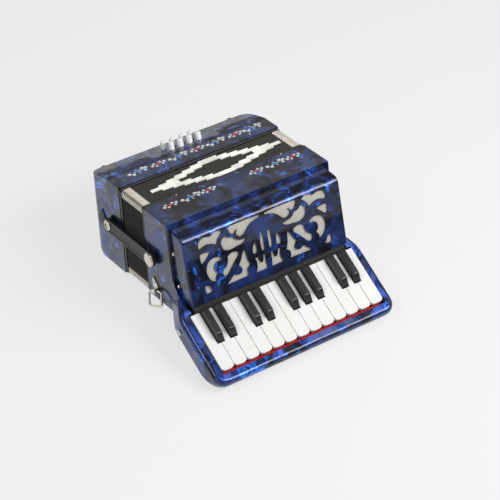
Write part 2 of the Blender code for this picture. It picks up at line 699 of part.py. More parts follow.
def build_grille():
    outer = grille_profile(0)
    bm = bmesh.new()
    add_prism(bm, side(outer + [(-GAP * 2, GRILLE_BOTTOM_Z)]), -GRILLE_HALF, GRILLE_HALF)
    cover = add_object("grille_cover", bm, "celluloid", smooth=True)
    inner = grille_profile(GRILLE_WALL)
    below = GRILLE_BOTTOM_Z - GRILLE_OPEN_OVER
    inside = [(GRILLE_OPEN_OVER, inner[0][1])] + inner + [(inner[-1][0], below), (GRILLE_OPEN_OVER, below)]
    bm = bmesh.new()
    inner_half = GRILLE_HALF - GRILLE_SIDE_WALL
    add_prism(bm, side(inside), -inner_half, inner_half)
    combine(cover, add_object("grille_inside_cutter", bm, None), "DIFFERENCE")
    bm = bmesh.new()
    for shape in CUT_OUTS:
        for mirror in (1, -1):
            rings = []
            for depth in (-GRILLE_CUT_OVER, GRILLE_WALL + GRILLE_CUT_OVER):
                rings.append([(mirror * a * MM, *grille_face(b * MM, depth)) for a, b in shape])
            add_loft(bm, rings)
    combine(cover, add_object("grille_scroll_cutter", bm, None), "DIFFERENCE")

    bm = bmesh.new()
    near = GRILLE_WALL + GAP
    far = near + CLOTH_THICK
    outline = [grille_face(CLOTH_START, near)]
    outline += reversed(grille_profile(near)[4:-1])
    outline += grille_profile(far)[4:-1]
    outline += [grille_face(CLOTH_START, far)]
    half = GRILLE_HALF - GRILLE_WALL - CLOTH_SIDE_GAP
    add_prism(bm, side(outline), -half, half)
    add_object("grille_cloth", bm, "grille_cloth")

    bm = bmesh.new()
    y0, z0 = grille_face(CLOTH_START - GAP, near)
    outline = [(y0, z0), (y0, z0 - DUST_STRIP_HEIGHT), (y0 + DUST_STRIP_THICK, z0 - DUST_STRIP_HEIGHT),
               (y0 + DUST_STRIP_THICK, z0)]
    add_prism(bm, side(outline), -half, half)
    add_object("dust_strip", bm, "black_felt")


# Treble inside


def build_treble_inside(pallets):
    bm = bmesh.new()
    half = INNER_HALF - GAP
    low = CASING_WALL + GAP
    add_block(bm, (-half, SOUNDBOARD_Y, low), (half, SOUNDBOARD_Y + SOUNDBOARD_THICK, LIP_Z - GAP))
    board = add_object("treble_soundboard", bm, "wood")
    bm = bmesh.new()
    for x, z in pallets:
        add_block(bm, (x - SOUNDBOARD_HOLE_WIDTH / 2, SOUNDBOARD_Y - MM, z - SOUNDBOARD_HOLE_HEIGHT / 2),
                  (x + SOUNDBOARD_HOLE_WIDTH / 2, SOUNDBOARD_Y + SOUNDBOARD_THICK + MM,
                   z + SOUNDBOARD_HOLE_HEIGHT / 2))
    combine(board, add_object("soundboard_hole_cutter", bm, None), "DIFFERENCE")
    middle_z = (WHITE_PALLET_Z + BLACK_PALLET_Z) / 2
    build_reed_block("treble_reed_block", SOUNDBOARD_Y + SOUNDBOARD_THICK + GAP, 1, middle_z)


def build_reed_block(name, foot_y, direction, middle_z):
    """A tapered block of reeds that stands on its soundboard."""
    rings = []
    for reach, shrink in ((0, 0), (REED_BLOCK_THICK, REED_BLOCK_TAPER)):
        half = REED_BLOCK_LENGTH / 2 - shrink
        rise = REED_BLOCK_HEIGHT / 2 - shrink
        y = foot_y + direction * reach
        rings.append([(-half, y, middle_z - rise), (half, y, middle_z - rise),
                      (half, y, middle_z + rise), (-half, y, middle_z + rise)])
    bm = bmesh.new()
    add_loft(bm, rings)
    add_object(name, bm, "wood")


# Bellows


def bellows_ring(y, inset, corner):
    """Outline of the bellows at y: the body's rectangle with cut corners, drawn in by inset."""
    x = HALF - inset
    low = inset
    high = BODY_DEPTH - inset
    return [(-x + corner, y, low), (x - corner, y, low), (x, y, low + corner), (x, y, high - corner),
            (x - corner, y, high), (-x + corner, y, high), (-x, y, high - corner), (-x, y, low + corner)]


def build_bellows():
    start = BELLOWS_Y + FRAME_WIDTH + GAP
    end = BASS_Y - FRAME_WIDTH - GAP
    pitch = (end - start) / FOLD_COUNT
    outer = []
    inner = []
    for i in range(2 * FOLD_COUNT + 1):
        y = start + pitch * i / 2
        valley = FOLD_DEPTH if i % 2 == 0 else 0
        outer.append(bellows_ring(y, FOLD_INSET + valley, BELLOWS_CORNER))
        inner.append(bellows_ring(y, FOLD_INSET + FOLD_WALL + valley, BELLOWS_CORNER))
    bm = bmesh.new()
    add_frame(bm, outer + list(reversed(inner)))
    add_object("bellows", bm, "bellows_cloth")

    frames = {"treble_bellows_frame": BELLOWS_Y + GAP, "bass_bellows_frame": BASS_Y - FRAME_WIDTH}
    for name, low in frames.items():
        high = low + FRAME_WIDTH - GAP
        bm = bmesh.new()
        inner = FRAME_INSET + FRAME_WALL
        section = ((low, FRAME_INSET), (high, FRAME_INSET), (high, inner), (low, inner))
        add_frame(bm, [bellows_ring(y, inset, BELLOWS_CORNER / 2) for y, inset in section])
        add_object(name, bm, "black_plastic")


# Bass casing


def bass_outline(inset, far):
    """Plan outline (x, y) of the bass casing up to the given far side, its far corners rounded."""
    x = HALF - inset
    radius = BASS_CORNER - inset
    left = [(-x, BASS_Y + GAP)] + arc((-x + radius, far - radius), radius, 180, 90, 6)
    return left + [(-px, py) for px, py in reversed(left)]


def far_edge(inset):
    """(y, z) along the rounded edge between the back of the bass casing and its far side."""
    centre = (FAR_Y - BASS_FAR_ROUND, BASS_FAR_ROUND)
    return arc(centre, BASS_FAR_ROUND - inset, -90, 0, 4)


def cut_away(bm, place, normal):
    """Removes what lies beyond a plane and closes the cut."""
    bmesh.ops.bisect_plane(bm, geom=bm.verts[:] + bm.edges[:] + bm.faces[:], plane_co=place,
                           plane_no=normal, clear_outer=True)
    bmesh.ops.holes_fill(bm, edges=[e for e in bm.edges if e.is_boundary], sides=0)


def bass_form(inset):
    """The outer form of the bass side, drawn in by inset, its front cut to the slope of the button strip."""
    bm = bmesh.new()
    levels = far_edge(inset) + [(FAR_Y - inset, BODY_DEPTH - inset)]
    add_loft(bm, [[(x, y, z) for x, y in bass_outline(inset, far)] for far, z in levels])
    cut_away(bm, Vector((0, SLOPE_Y, BODY_DEPTH)) - Vector(SLOPE_NORMAL) * inset, SLOPE_NORMAL)
    return bm


def slope_point(x, along, out):
    """A point on the button strip: along the slope from its near edge, and out from it."""
    down = Vector((0, cos(SLOPE_ANGLE), -sin(SLOPE_ANGLE)))
    return Vector((x, SLOPE_Y, BODY_DEPTH)) + down * along + Vector(SLOPE_NORMAL) * out


def button_places():
    places = []
    for row in range(BUTTON_ROWS):
        for column in range(BUTTONS_IN_ROW):
            x = BUTTON_X + column * BUTTON_PITCH + row * BUTTON_ROW_SHIFT
            places.append((x, BUTTON_ALONG_SLOPE + row * BUTTON_ROW_PITCH))
    return places


def build_bass_casing():
    seam = FAR_Y - END_PLATE_THICK
    bm = bass_form(0)
    cut_away(bm, (0, seam - GAP, 0), (0, 1, 0))
    casing = add_object("bass_casing", bm, "celluloid", smooth=True)
    bm = bass_form(CASING_WALL)
    cut_away(bm, (0, seam - GAP - CASING_WALL, 0), (0, 1, 0))
    for vert in bm.verts:
        if vert.co.y < BASS_Y + CASING_WALL:
            vert.co.y = BASS_Y - CUT_REACH
    combine(casing, add_object("bass_inside_cutter", bm, None), "DIFFERENCE")
    bm = bmesh.new()
    bore = BUTTON_RADIUS + BUTTON_CLEARANCE
    for x, along in button_places():
        lathe(bm, [(-2 * CASING_WALL, bore), (CASING_WALL, bore)], slope_point(x, along, 0), SLOPE_NORMAL, 16)
    combine(casing, add_object("button_hole_cutter", bm, None), "DIFFERENCE")

    bm = bass_form(0)
    cut_away(bm, (0, seam, 0), (0, -1, 0))
    plate = add_object("bass_end_plate", bm, "celluloid", smooth=True)
    bm = bmesh.new()
    bore = AIR_STEM_RADIUS + BUTTON_CLEARANCE
    depth = END_PLATE_THICK + 2 * CASING_WALL
    lathe(bm, [(-depth, bore), (CASING_WALL, bore)], (AIR_X, FAR_Y, AIR_Z), (0, 1, 0), 12)
    cutter = add_object("air_hole_cutter", bm, None)
    combine(plate, cutter, "DIFFERENCE")
    combine(casing, cutter, "DIFFERENCE")


def build_bass_buttons():
    cap_centre = (BUTTON_STAND - BUTTON_CAP_ROUND, BUTTON_RADIUS - BUTTON_CAP_ROUND)
    profile = [(-BUTTON_STEM, BUTTON_RADIUS)] + arc(cap_centre, BUTTON_CAP_ROUND, 90, 0, 3)
    for number, (x, along) in enumerate(button_places(), 1):
        place = slope_point(x, along, 0)
        bm = bmesh.new()
        lathe(bm, profile, place, SLOPE_NORMAL, 16)
        add_object(f"bass_button_{number}", bm, "pearl_plastic", place, smooth=True)
    place = Vector((AIR_X, FAR_Y, AIR_Z))
    bm = bmesh.new()
    under = AIR_STAND - AIR_CAP_THICK
    profile = [(-AIR_STEM, AIR_STEM_RADIUS), (under, AIR_STEM_RADIUS), (under, AIR_RADIUS),
               (AIR_STAND - AIR_CAP_THICK / 3, AIR_RADIUS), (AIR_STAND, AIR_RADIUS - AIR_CAP_THICK / 2)]
    lathe(bm, profile, place, (0, 1, 0), 20)
    add_object("air_button", bm, "pearl_plastic", place, smooth=True)


def build_feet():
    number = 0
    for x in (FOOT_END_INSET - HALF, HALF - FOOT_END_INSET):
        for z in (FOOT_BACK_INSET, BODY_DEPTH - FOOT_FRONT_INSET):
            number += 1
            bm = bmesh.new()
            profile = [(GAP, FOOT_RADIUS), (FOOT_HEIGHT * 0.5, FOOT_RADIUS), (FOOT_HEIGHT, FOOT_TIP_RADIUS)]
            lathe(bm, profile, (x, FAR_Y, z), (0, 1, 0), 20)
            add_object(f"rubber_foot_{number}", bm, "rubber", (x, FAR_Y, z), smooth=True)


def build_hand_strap():
    """Leather strap along the far face, bowed out for the hand."""
    steps = 12
    rings = []
    half = HAND_STRAP_LENGTH / 2
    for i in range(steps + 1):
        t = i / steps
        x = -half + 2 * half * t
        out = GAP + HAND_STRAP_BOW * sin(pi * t) ** HAND_STRAP_BLUNTNESS
        low, high = HAND_STRAP_Z - HAND_STRAP_WIDTH / 2, HAND_STRAP_Z + HAND_STRAP_WIDTH / 2
        y0, y1 = FAR_Y + out, FAR_Y + out + HAND_STRAP_THICK
        rings.append([(x, y0, low), (x, y0, high), (x, y1, high), (x, y1, low)])
    bm = bmesh.new()
    add_loft(bm, rings)
    add_object("bass_hand_strap", bm, "leather")


def build_bass_inside():
    y = BASS_Y + BASS_BOARD_INSET
    bm = bmesh.new()
    half = INNER_HALF - GAP
    add_block(bm, (-half, y, CASING_WALL + GAP), (half, y + SOUNDBOARD_THICK, BODY_DEPTH - CASING_WALL - GAP))
    board = add_object("bass_soundboard", bm, "wood")
    bm = bmesh.new()
    half_width, half_height = BASS_HOLE_WIDTH / 2, BASS_HOLE_HEIGHT / 2
    for column in range(BUTTONS_IN_ROW):
        x = (column - (BUTTONS_IN_ROW - 1) / 2) * BASS_HOLE_PITCH
        for z in (BODY_DEPTH / 2 - BASS_HOLE_RISE, BODY_DEPTH / 2 + BASS_HOLE_RISE):
            add_block(bm, (x - half_width, y - MM, z - half_height),
                      (x + half_width, y + SOUNDBOARD_THICK + MM, z + half_height))
    combine(board, add_object("bass_hole_cutter", bm, None), "DIFFERENCE")
    build_reed_block("bass_reed_block", y - GAP, -1, BODY_DEPTH / 2)


# Bellows straps, brackets and rings


def build_bellows_strap(side_name, edge):
    """Leather strap over the bellows on one end of the body: pads, band and snap cap."""
    y0 = BELLOWS_Y - STRAP_TREBLE_END
    y1 = BASS_Y + STRAP_BASS_END
    inner = HALF + STRAP_STANDOFF
    hinge = Vector((edge * inner, y1, STRAP_Z))
    radius = STRAP_WIDTH / 2
    plan = arc((y0, STRAP_Z), radius, 270, 90, 6) + arc((y1, STRAP_Z), radius, 90, -90, 6)
    bm = bmesh.new()
    rings = [[(edge * x, y, z) for y, z in plan] for x in (inner, inner + STRAP_THICK)]
    add_loft(bm, rings)
    strap = add_object(f"bellows_strap_{side_name}", bm, "leather", hinge)
    bm = bmesh.new()
    for y in (y0, y1):
        profile = [(GAP, STRAP_PAD_RADIUS), (STRAP_STANDOFF + STRAP_THICK / 2, STRAP_PAD_RADIUS)]
        lathe(bm, profile, (edge * HALF, y, STRAP_Z), (edge, 0, 0), 20)
    combine(strap, add_object(f"strap_pads_{side_name}", bm, None, hinge), "UNION")

    bm = bmesh.new()
    top = inner + STRAP_THICK + GAP
    profile = [(0, SNAP_RADIUS), (SNAP_HEIGHT * 0.4, SNAP_RADIUS), (SNAP_HEIGHT * 0.8, SNAP_RADIUS * 0.75),
               (SNAP_HEIGHT, SNAP_RADIUS * 0.4)]
    lathe(bm, profile, (edge * top, y0, STRAP_Z), (edge, 0, 0), 20)
    add_object(f"strap_snap_{side_name}", bm, "nickel", hinge, smooth=True)


def bracket_point(x, along, up):
    """A point in the slanted plane of a bracket, from the middle of its eye."""
    return Vector((x, EYE_Y, EYE_Z)) + Vector(BRACKET_ALONG) * along + Vector(BRACKET_UP) * up


def build_bracket(side_name, edge):
    """Slanted nickel plate on the end of the treble casing, with an eye that holds the strap ring."""
    face = HALF + GAP
    eye = bracket_point(edge * (face + EYE_LIFT + EYE_RADIUS), 0, 0)
    tip_round = BRACKET_WIDTH / 5
    plan = arc((0, BRACKET_LENGTH - tip_round), tip_round, 0, 180, 4)
    plan += [(-BRACKET_WIDTH / 2, BRACKET_LENGTH * 0.4), (-EYE_WIDTH * 0.4, EYE_RADIUS / 2),
             (EYE_WIDTH * 0.4, EYE_RADIUS / 2), (BRACKET_WIDTH / 2, BRACKET_LENGTH * 0.4)]
    bm = bmesh.new()
    add_loft(bm, [[bracket_point(edge * x, along, up) for along, up in plan]
                  for x in (face, face + BRACKET_THICK)])
    bracket = add_object(f"strap_bracket_{side_name}", bm, "nickel", smooth=True)
    bm = bmesh.new()
    lathe(bm, [(-EYE_WIDTH / 2, EYE_RADIUS), (EYE_WIDTH / 2, EYE_RADIUS)], eye, BRACKET_ALONG, 16)
    combine(bracket, add_object(f"eye_form_{side_name}", bm, None), "UNION")
    bm = bmesh.new()
    lathe(bm, [(-EYE_WIDTH, EYE_BORE), (EYE_WIDTH, EYE_BORE)], eye, BRACKET_ALONG, 12)
    combine(bracket, add_object(f"eye_bore_{side_name}", bm, None), "DIFFERENCE")

    swing = Matrix.Rotation(edge * -RING_LEAN, 3, Vector(BRACKET_ALONG))
    half = RING_WIDTH / 2
    corners = [(-half, 0), (half, 0), (half, -RING_HEIGHT), (-half, -RING_HEIGHT)]
    path = []
    for i, corner in enumerate(corners):
        path += rounded(corner, corners[i - 1], corners[(i + 1) % 4], RING_CORNER, 3)
    sections = []
    for i, (u, v) in enumerate(path):
        before, after = Vector(path[i - 1]), Vector(path[(i + 1) % len(path)])
        along = (after - before).normalized()
        out = Vector((-along.y, along.x))
        section = []
        for k in range(8):
            angle = 2 * pi * k / 8
            flat = Vector((u, v)) + out * RING_WIRE * cos(angle)
            arm = bracket_point(RING_WIRE * sin(angle), flat.x, flat.y) - bracket_point(0, 0, 0)
            section.append(eye + swing @ arm)
        sections.append(section)
    bm = bmesh.new()
    add_frame(bm, sections)
    add_object(f"strap_ring_{side_name}", bm, "nickel", eye, smooth=True)


def lay_on_floor():
    """Turns the instrument about X until its keyboard and its bass edge touch the floor together."""
    keyboard = []
    for h, _, near_end in surround_levels():
        keyboard.append(key(near_end, h))
    bass = [(BASS_Y, 0)] + far_edge(0)
    low, high = radians(-30), radians(10)
    for _ in range(60):
        tilt = (low + high) / 2
        lowest = [min(y * sin(tilt) + z * cos(tilt) for y, z in points) for points in (keyboard, bass)]
        if lowest[0] < lowest[1]:
            high = tilt
        else:
            low = tilt
    near = min(y * cos(tilt) - z * sin(tilt) for y, z in keyboard)
    far = FAR_Y + HAND_STRAP_BOW + HAND_STRAP_THICK
    far = far * cos(tilt) - HAND_STRAP_Z * sin(tilt)
    instrument.rotation_euler = (tilt, 0, 0)
    instrument.location = (0, -(near + far) / 2, -min(lowest))


build_treble_casing()
pallet_places = build_keys()
build_key_felt()
build_key_axle()
build_grille()
build_treble_inside(pallet_places)
build_bellows()
build_bass_casing()
build_bass_buttons()
build_feet()
build_hand_strap()
build_bass_inside()
for side_word, side_sign in (("left", -1), ("right", 1)):
    build_bellows_strap(side_word, side_sign)
    build_bracket(side_word, side_sign)
lay_on_floor()
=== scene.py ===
"""A small piano accordion in blue pearl celluloid, closed, lying on a pale floor."""
import json
from math import atan2, cos, pi, radians, sin
import bmesh
import bpy
from mathutils import Matrix, Vector


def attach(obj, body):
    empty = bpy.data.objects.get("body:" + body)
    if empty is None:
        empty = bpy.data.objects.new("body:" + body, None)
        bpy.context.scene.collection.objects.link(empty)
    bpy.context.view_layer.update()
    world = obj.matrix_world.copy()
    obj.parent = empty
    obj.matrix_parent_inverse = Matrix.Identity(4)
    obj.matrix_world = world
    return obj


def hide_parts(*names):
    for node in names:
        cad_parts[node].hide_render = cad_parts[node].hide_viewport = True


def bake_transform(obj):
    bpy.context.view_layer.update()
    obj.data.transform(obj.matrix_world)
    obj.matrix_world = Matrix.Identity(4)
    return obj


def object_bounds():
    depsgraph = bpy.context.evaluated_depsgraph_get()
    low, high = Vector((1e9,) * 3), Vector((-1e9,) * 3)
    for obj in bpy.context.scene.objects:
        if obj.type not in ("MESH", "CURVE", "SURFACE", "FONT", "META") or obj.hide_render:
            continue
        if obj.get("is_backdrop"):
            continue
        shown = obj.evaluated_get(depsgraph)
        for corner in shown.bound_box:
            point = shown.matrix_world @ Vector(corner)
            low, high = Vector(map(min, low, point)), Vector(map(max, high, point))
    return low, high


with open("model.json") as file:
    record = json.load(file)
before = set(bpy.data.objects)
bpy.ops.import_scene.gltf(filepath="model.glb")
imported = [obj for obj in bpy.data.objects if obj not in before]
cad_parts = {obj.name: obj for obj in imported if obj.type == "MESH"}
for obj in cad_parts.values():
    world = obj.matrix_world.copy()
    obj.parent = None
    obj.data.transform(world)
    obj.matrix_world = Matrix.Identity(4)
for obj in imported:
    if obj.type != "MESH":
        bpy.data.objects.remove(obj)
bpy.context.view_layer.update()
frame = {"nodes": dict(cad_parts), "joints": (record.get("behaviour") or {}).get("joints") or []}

# The instrument lies tilted on the floor, on its keyboard and the edge of its bass side. Every piece is
# shaped in the axes it was drawn in and then laid down: X along the keyboard, Y from the keyboard to
# the bass side, Z from its back to its front.
MM = 0.001
NEAR = 0.1 * MM
nodes = frame["nodes"]
joints = {joint["name"]: joint for joint in frame["joints"]}
slide = joints["bellows_slide"]["axis"]
tilt = Matrix.Rotation(atan2(slide[2], slide[1]), 4, "X")
level = [tilt.inverted() @ v.co for v in nodes["treble_casing"].data.vertices]
crest = max(p.z for p in level)
front_edge = min(p.y for p in level if p.z > crest - NEAR)
back_face = min((tilt.inverted() @ v.co).z for v in nodes["bass_casing"].data.vertices)
lay = tilt @ Matrix.Translation((0, front_edge, back_face))
unlay = lay.inverted()

# The camera stands to the left of the keyboard and above it, as far off as its focal length asks.
# Its place and turn are in the instrument's own axes.
PHOTO_PIXELS = 500
FOCAL_PIXELS = 2001
SENSOR_WIDTH = 36
CAMERA_PLACE = Vector((-1.2078, -1.8670, 1.4982))
CAMERA_ROLL = radians(4.71)
CAMERA_TURN = radians(-34.66)
CAMERA_TIP = radians(52.91)

bpy.ops.object.camera_add()
camera = bpy.context.object
camera.name = "camera"
camera.data.sensor_width = SENSOR_WIDTH
camera.data.lens = FOCAL_PIXELS / PHOTO_PIXELS * SENSOR_WIDTH
aim = Matrix.Rotation(CAMERA_ROLL, 4, "X") @ Matrix.Rotation(CAMERA_TURN, 4, "Z")
aim = aim @ Matrix.Rotation(CAMERA_TIP, 4, "X")
camera.matrix_world = lay @ Matrix.Translation(CAMERA_PLACE) @ aim
bpy.context.scene.camera = camera

# Plain pale floor and soft lamps. The wide key lamp stands where the rolled crest, the near rail and the
# tips of the black keys mirror it as a white line, and the rail lamp where the side rails do. A black
# cloth on the floor before the keyboard, seen only in reflections, keeps the grille dark.
FLOOR_SIZE = 30
FLOOR_DROP = 0.2 * MM
FLOOR_COLOUR = (0.84, 0.84, 0.84)
FLOOR_GLOW = 0.78
BACKDROP_COLOUR = (0.89, 0.89, 0.893)
WORLD_STRENGTH = 0.25
AIM_HEIGHT = 0.08
LAMPS = (
    ("key_lamp", (0.77, -0.95, 1.25), (1.2, 0.66), 27),
    ("backdrop_lamp", (0.6, 1.55, 0.8), (1.8, 0.7), 1.7),
    ("rail_lamp", (-1.05, -0.09, 1.2), (0.4, 0.6), 5.5),
    ("end_lamp", (-1.4, -0.6, 0.5), (0.6, 0.6), 1.5),
)
FLAG_PLACE = (0.51, -0.66, 0)
FLAG_SIZE = (0.9, 1.7, 1)


def new_material(name, colour, roughness, metallic=0.0, **more):
    """A Principled material and its node tree. More of the shader's sockets are set by their names."""
    made = bpy.data.materials.new(name)
    made.use_nodes = True
    made.diffuse_color = (*colour, 1)
    sockets = made.node_tree.nodes["Principled BSDF"].inputs
    sockets["Base Color"].default_value = (*colour, 1)
    sockets["Roughness"].default_value = roughness
    sockets["Metallic"].default_value = metallic
    for socket, value in more.items():
        sockets[socket.replace("_", " ")].default_value = value
    return made, made.node_tree


def add_node(tree, kind, links, **values):
    """A shader node with its properties set, and each socket linked or set to a value."""
    made = tree.nodes.new(kind)
    for name, value in values.items():
        setattr(made, name, value)
    for socket, source in links.items():
        if isinstance(source, bpy.types.NodeSocket):
            tree.links.new(source, made.inputs[socket])
        else:
            made.inputs[socket].default_value = source
    return made


def maths(tree, operation, first, second):
    """The result of a Math node."""
    return add_node(tree, "ShaderNodeMath", {0: first, 1: second}, operation=operation).outputs[0]


def add_primitive(name, kind, scale=(1, 1, 1), **values):
    """Adds a primitive with nothing else selected, and puts its place, turn and scale into its mesh."""
    bpy.ops.object.select_all(action="DESELECT")
    getattr(bpy.ops.mesh, f"primitive_{kind}_add")(**values)
    obj = bpy.context.object
    obj.name = name
    obj.scale = scale
    bpy.ops.object.transform_apply()
    return obj


bpy.context.scene.view_settings.view_transform = "Standard"
floor = add_primitive("floor", "plane", size=FLOOR_SIZE, location=(0, 0, -FLOOR_DROP))
floor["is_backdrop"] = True
floor_paint, tree = new_material("floor_paint", FLOOR_COLOUR, 0.9)
rays = add_node(tree, "ShaderNodeLightPath", {}).outputs
seen = maths(tree, "MAXIMUM", rays["Is Camera Ray"], rays["Is Glossy Ray"])
seen = maths(tree, "MAXIMUM", seen, rays["Is Transmission Ray"])
share = maths(tree, "MULTIPLY", seen, FLOOR_GLOW)
glow = add_node(tree, "ShaderNodeEmission", {"Color": (*BACKDROP_COLOUR, 1)})
lit = tree.nodes["Principled BSDF"].outputs[0]
blend = add_node(tree, "ShaderNodeMixShader", {0: share, 1: lit, 2: glow.outputs[0]})
tree.links.new(blend.outputs[0], tree.nodes["Material Output"].inputs["Surface"])
floor.data.materials.append(floor_paint)

world = bpy.data.worlds.new("studio")
bpy.context.scene.world = world
world.use_nodes = True
background = world.node_tree.nodes["Background"]
background.inputs["Color"].default_value = (*BACKDROP_COLOUR, 1)
background.inputs["Strength"].default_value = WORLD_STRENGTH

for name, place, (width, height), power in LAMPS:
    bpy.ops.object.light_add(type="AREA", location=place)
    lamp = bpy.context.object
    lamp.name = name
    lamp.data.shape = "RECTANGLE"
    lamp.data.size = width
    lamp.data.size_y = height
    lamp.data.energy = power
    lamp.visible_camera = False
    away = (Vector(place) - Vector((0, 0, AIM_HEIGHT))).normalized()
    across = Vector((1, 0, 0)) - away * away.x
    across.normalize()
    lamp.rotation_euler = Matrix((across, away.cross(across), away)).transposed().to_euler()

flag = add_primitive("black_flag", "plane", FLAG_SIZE, size=1,
                     location=FLAG_PLACE, rotation=(0, 0, CAMERA_TURN))
for ray in ("camera", "diffuse", "transmission", "shadow"):
    setattr(flag, "visible_" + ray, False)
flag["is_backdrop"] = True
flag.data.materials.append(new_material("flag_cloth", (0.005, 0.005, 0.005), 1.0)[0])

# Treble casing: a wooden shell with a skin of blue pearl celluloid, which runs on without a seam over
# the cheeks and the rounded rails round the keyboard. The pearl lies under a clear polished surface.
PEARL_BLACK = (0.004, 0.006, 0.02)
PEARL_GREY = (0.012, 0.022, 0.075)
PEARL_NAVY = (0.011, 0.028, 0.13)
PEARL_BLUE = (0.014, 0.047, 0.24)
PEARL_BRIGHT = (0.03, 0.2, 0.9)
CASING_ROUND = 0.7 * MM
DOUBLES = 0.01 * MM
FLAT = radians(0.5)


def new_group(name, inputs, outputs):
    """An empty shader node group with float or colour sockets, and its input and output nodes."""
    group = bpy.data.node_groups.new(name, "ShaderNodeTree")
    for socket, value in inputs.items():
        kind = "NodeSocketColor" if isinstance(value, tuple) else "NodeSocketFloat"
        made = group.interface.new_socket(socket, in_out="INPUT", socket_type=kind)
        made.default_value = value
    for socket, kind in outputs.items():
        group.interface.new_socket(socket, in_out="OUTPUT", socket_type=kind)
    return group, group.nodes.new("NodeGroupInput"), group.nodes.new("NodeGroupOutput")


def texture(tree, kind, sockets, place=None, **values):
    """A texture node on Object coordinates, or on another place."""
    if place is None:
        place = add_node(tree, "ShaderNodeTexCoord", {}).outputs["Object"]
    return add_node(tree, "ShaderNodeTex" + kind, {"Vector": place, **sockets}, **values)


def vectors(tree, operation, first, second=(0, 0, 0)):
    """The result of a Vector Math node."""
    other = "Scale" if operation == "SCALE" else 1
    return add_node(tree, "ShaderNodeVectorMath", {0: first, other: second}, operation=operation).outputs[0]


def ramp(tree, source, stops):
    """The result of a colour ramp with the given (place, colour) stops."""
    made = add_node(tree, "ShaderNodeValToRGB", {"Fac": source})
    elements = made.color_ramp.elements
    while len(elements) < len(stops):
        elements.new(1.0)
    for element, (place, colour) in zip(elements, stops):
        element.position = place
        element.color = (*colour, 1)
    return made.outputs["Color"]


def feed(tree, **sources):
    """Links sources to the shader's sockets, by the sockets' names."""
    for socket, source in sources.items():
        tree.links.new(source, tree.nodes["Principled BSDF"].inputs[socket.replace("_", " ")])


# Clouded pearl: soft patches that flow into each other, each of its own tone and tilted its own way, with
# a few bright flakes.
pearl, enter, leave = new_group("clouded_pearl", {"Scale": 70.0, "Tilt": 0.5},
                                {"Color": "NodeSocketColor", "Normal": "NodeSocketVector"})
place = add_node(pearl, "ShaderNodeTexCoord", {}).outputs["Object"]
drift = texture(pearl, "Noise", {"Scale": 22.0, "Detail": 1.0}, place)
flow = vectors(pearl, "ADD", place, vectors(pearl, "SCALE", drift.outputs["Color"], 0.07))
fray = texture(pearl, "Noise", {"Scale": 150.0, "Detail": 4.0}, flow)
frayed = vectors(pearl, "ADD", flow, vectors(pearl, "SCALE", fray.outputs["Color"], 0.012))
patch = texture(pearl, "Voronoi", {"Scale": enter.outputs["Scale"], "Smoothness": 1.0}, frayed,
                feature="SMOOTH_F1")
parts = add_node(pearl, "ShaderNodeSeparateColor", {"Color": patch.outputs["Color"]}).outputs
tone = ramp(pearl, parts["Red"],
            ((0.2, PEARL_BLACK), (0.38, PEARL_GREY), (0.52, PEARL_NAVY), (0.8, PEARL_BLUE)))
glint = maths(pearl, "MULTIPLY", parts["Green"], fray.outputs["Fac"])
spark = add_node(pearl, "ShaderNodeMapRange", {"Value": glint, "From Min": 0.37, "From Max": 0.48})
bright = add_node(pearl, "ShaderNodeMix", {"Factor": spark.outputs[0], 6: tone, 7: (*PEARL_BRIGHT, 1)},
                  data_type="RGBA")
pearl.links.new(bright.outputs[2], leave.inputs["Color"])
middle = vectors(pearl, "SUBTRACT", patch.outputs["Color"], (0.5, 0.5, 0.5))
lean = vectors(pearl, "SCALE", middle, enter.outputs["Tilt"])
surface = add_node(pearl, "ShaderNodeNewGeometry", {})
leaning = vectors(pearl, "ADD", surface.outputs["Normal"], lean)
pearl.links.new(vectors(pearl, "NORMALIZE", leaning), leave.inputs["Normal"])

celluloid, tree = new_material("blue_pearl_celluloid", PEARL_NAVY, 0.4, 0.75,
                               Coat_Weight=1.0, Coat_IOR=1.42, Coat_Roughness=0.03)
look = add_node(tree, "ShaderNodeGroup", {}, node_tree=pearl)
feed(tree, Base_Color=look.outputs["Color"], Normal=look.outputs["Normal"])


def own_points(node):
    """The points of a CAD node, in the instrument's own axes."""
    return [unlay @ v.co for v in nodes[node].data.vertices]


def corners(points):
    """The lowest and the highest corner of some points."""
    return [Vector([pick(p[i] for p in points) for i in range(3)]) for pick in (min, max)]


def only(obj):
    """Selects one object alone and makes it the active one."""
    bpy.ops.object.select_all(action="DESELECT")
    obj.select_set(True)
    bpy.context.view_layer.objects.active = obj


def open_mesh():
    """Goes into edit mode with all of the active object selected."""
    bpy.ops.object.mode_set(mode="EDIT")
    bpy.ops.mesh.select_all(action="SELECT")


def close_mesh():
    """Leaves edit mode."""
    bpy.ops.object.mode_set(mode="OBJECT")


def choose(obj, kind, test):
    """In edit mode, selects the vertices, edges or faces whose middle and self pass the test."""
    bpy.ops.mesh.select_mode(type=kind)
    bpy.ops.mesh.select_all(action="DESELECT")
    bm = bmesh.from_edit_mesh(obj.data)
    for item in {"VERT": bm.verts, "EDGE": bm.edges, "FACE": bm.faces}[kind]:
        points = [item.co] if kind == "VERT" else [v.co for v in item.verts]
        if test(sum(points, Vector()) / len(points), item):
            item.select_set(True)
    bmesh.update_edit_mesh(obj.data)


def modify(obj, kind, **values):
    """Adds a modifier, sets it and applies it."""
    only(obj)
    modifier = obj.modifiers.new(kind.lower(), kind)
    for name, value in values.items():
        setattr(modifier, name, value)
    bpy.ops.object.modifier_apply(modifier=modifier.name)


def round_edges(obj, width, angle=40):
    """Rounds all edges that are sharper than an angle."""
    modify(obj, "BEVEL", width=width, segments=2, limit_method="ANGLE", angle_limit=radians(angle))


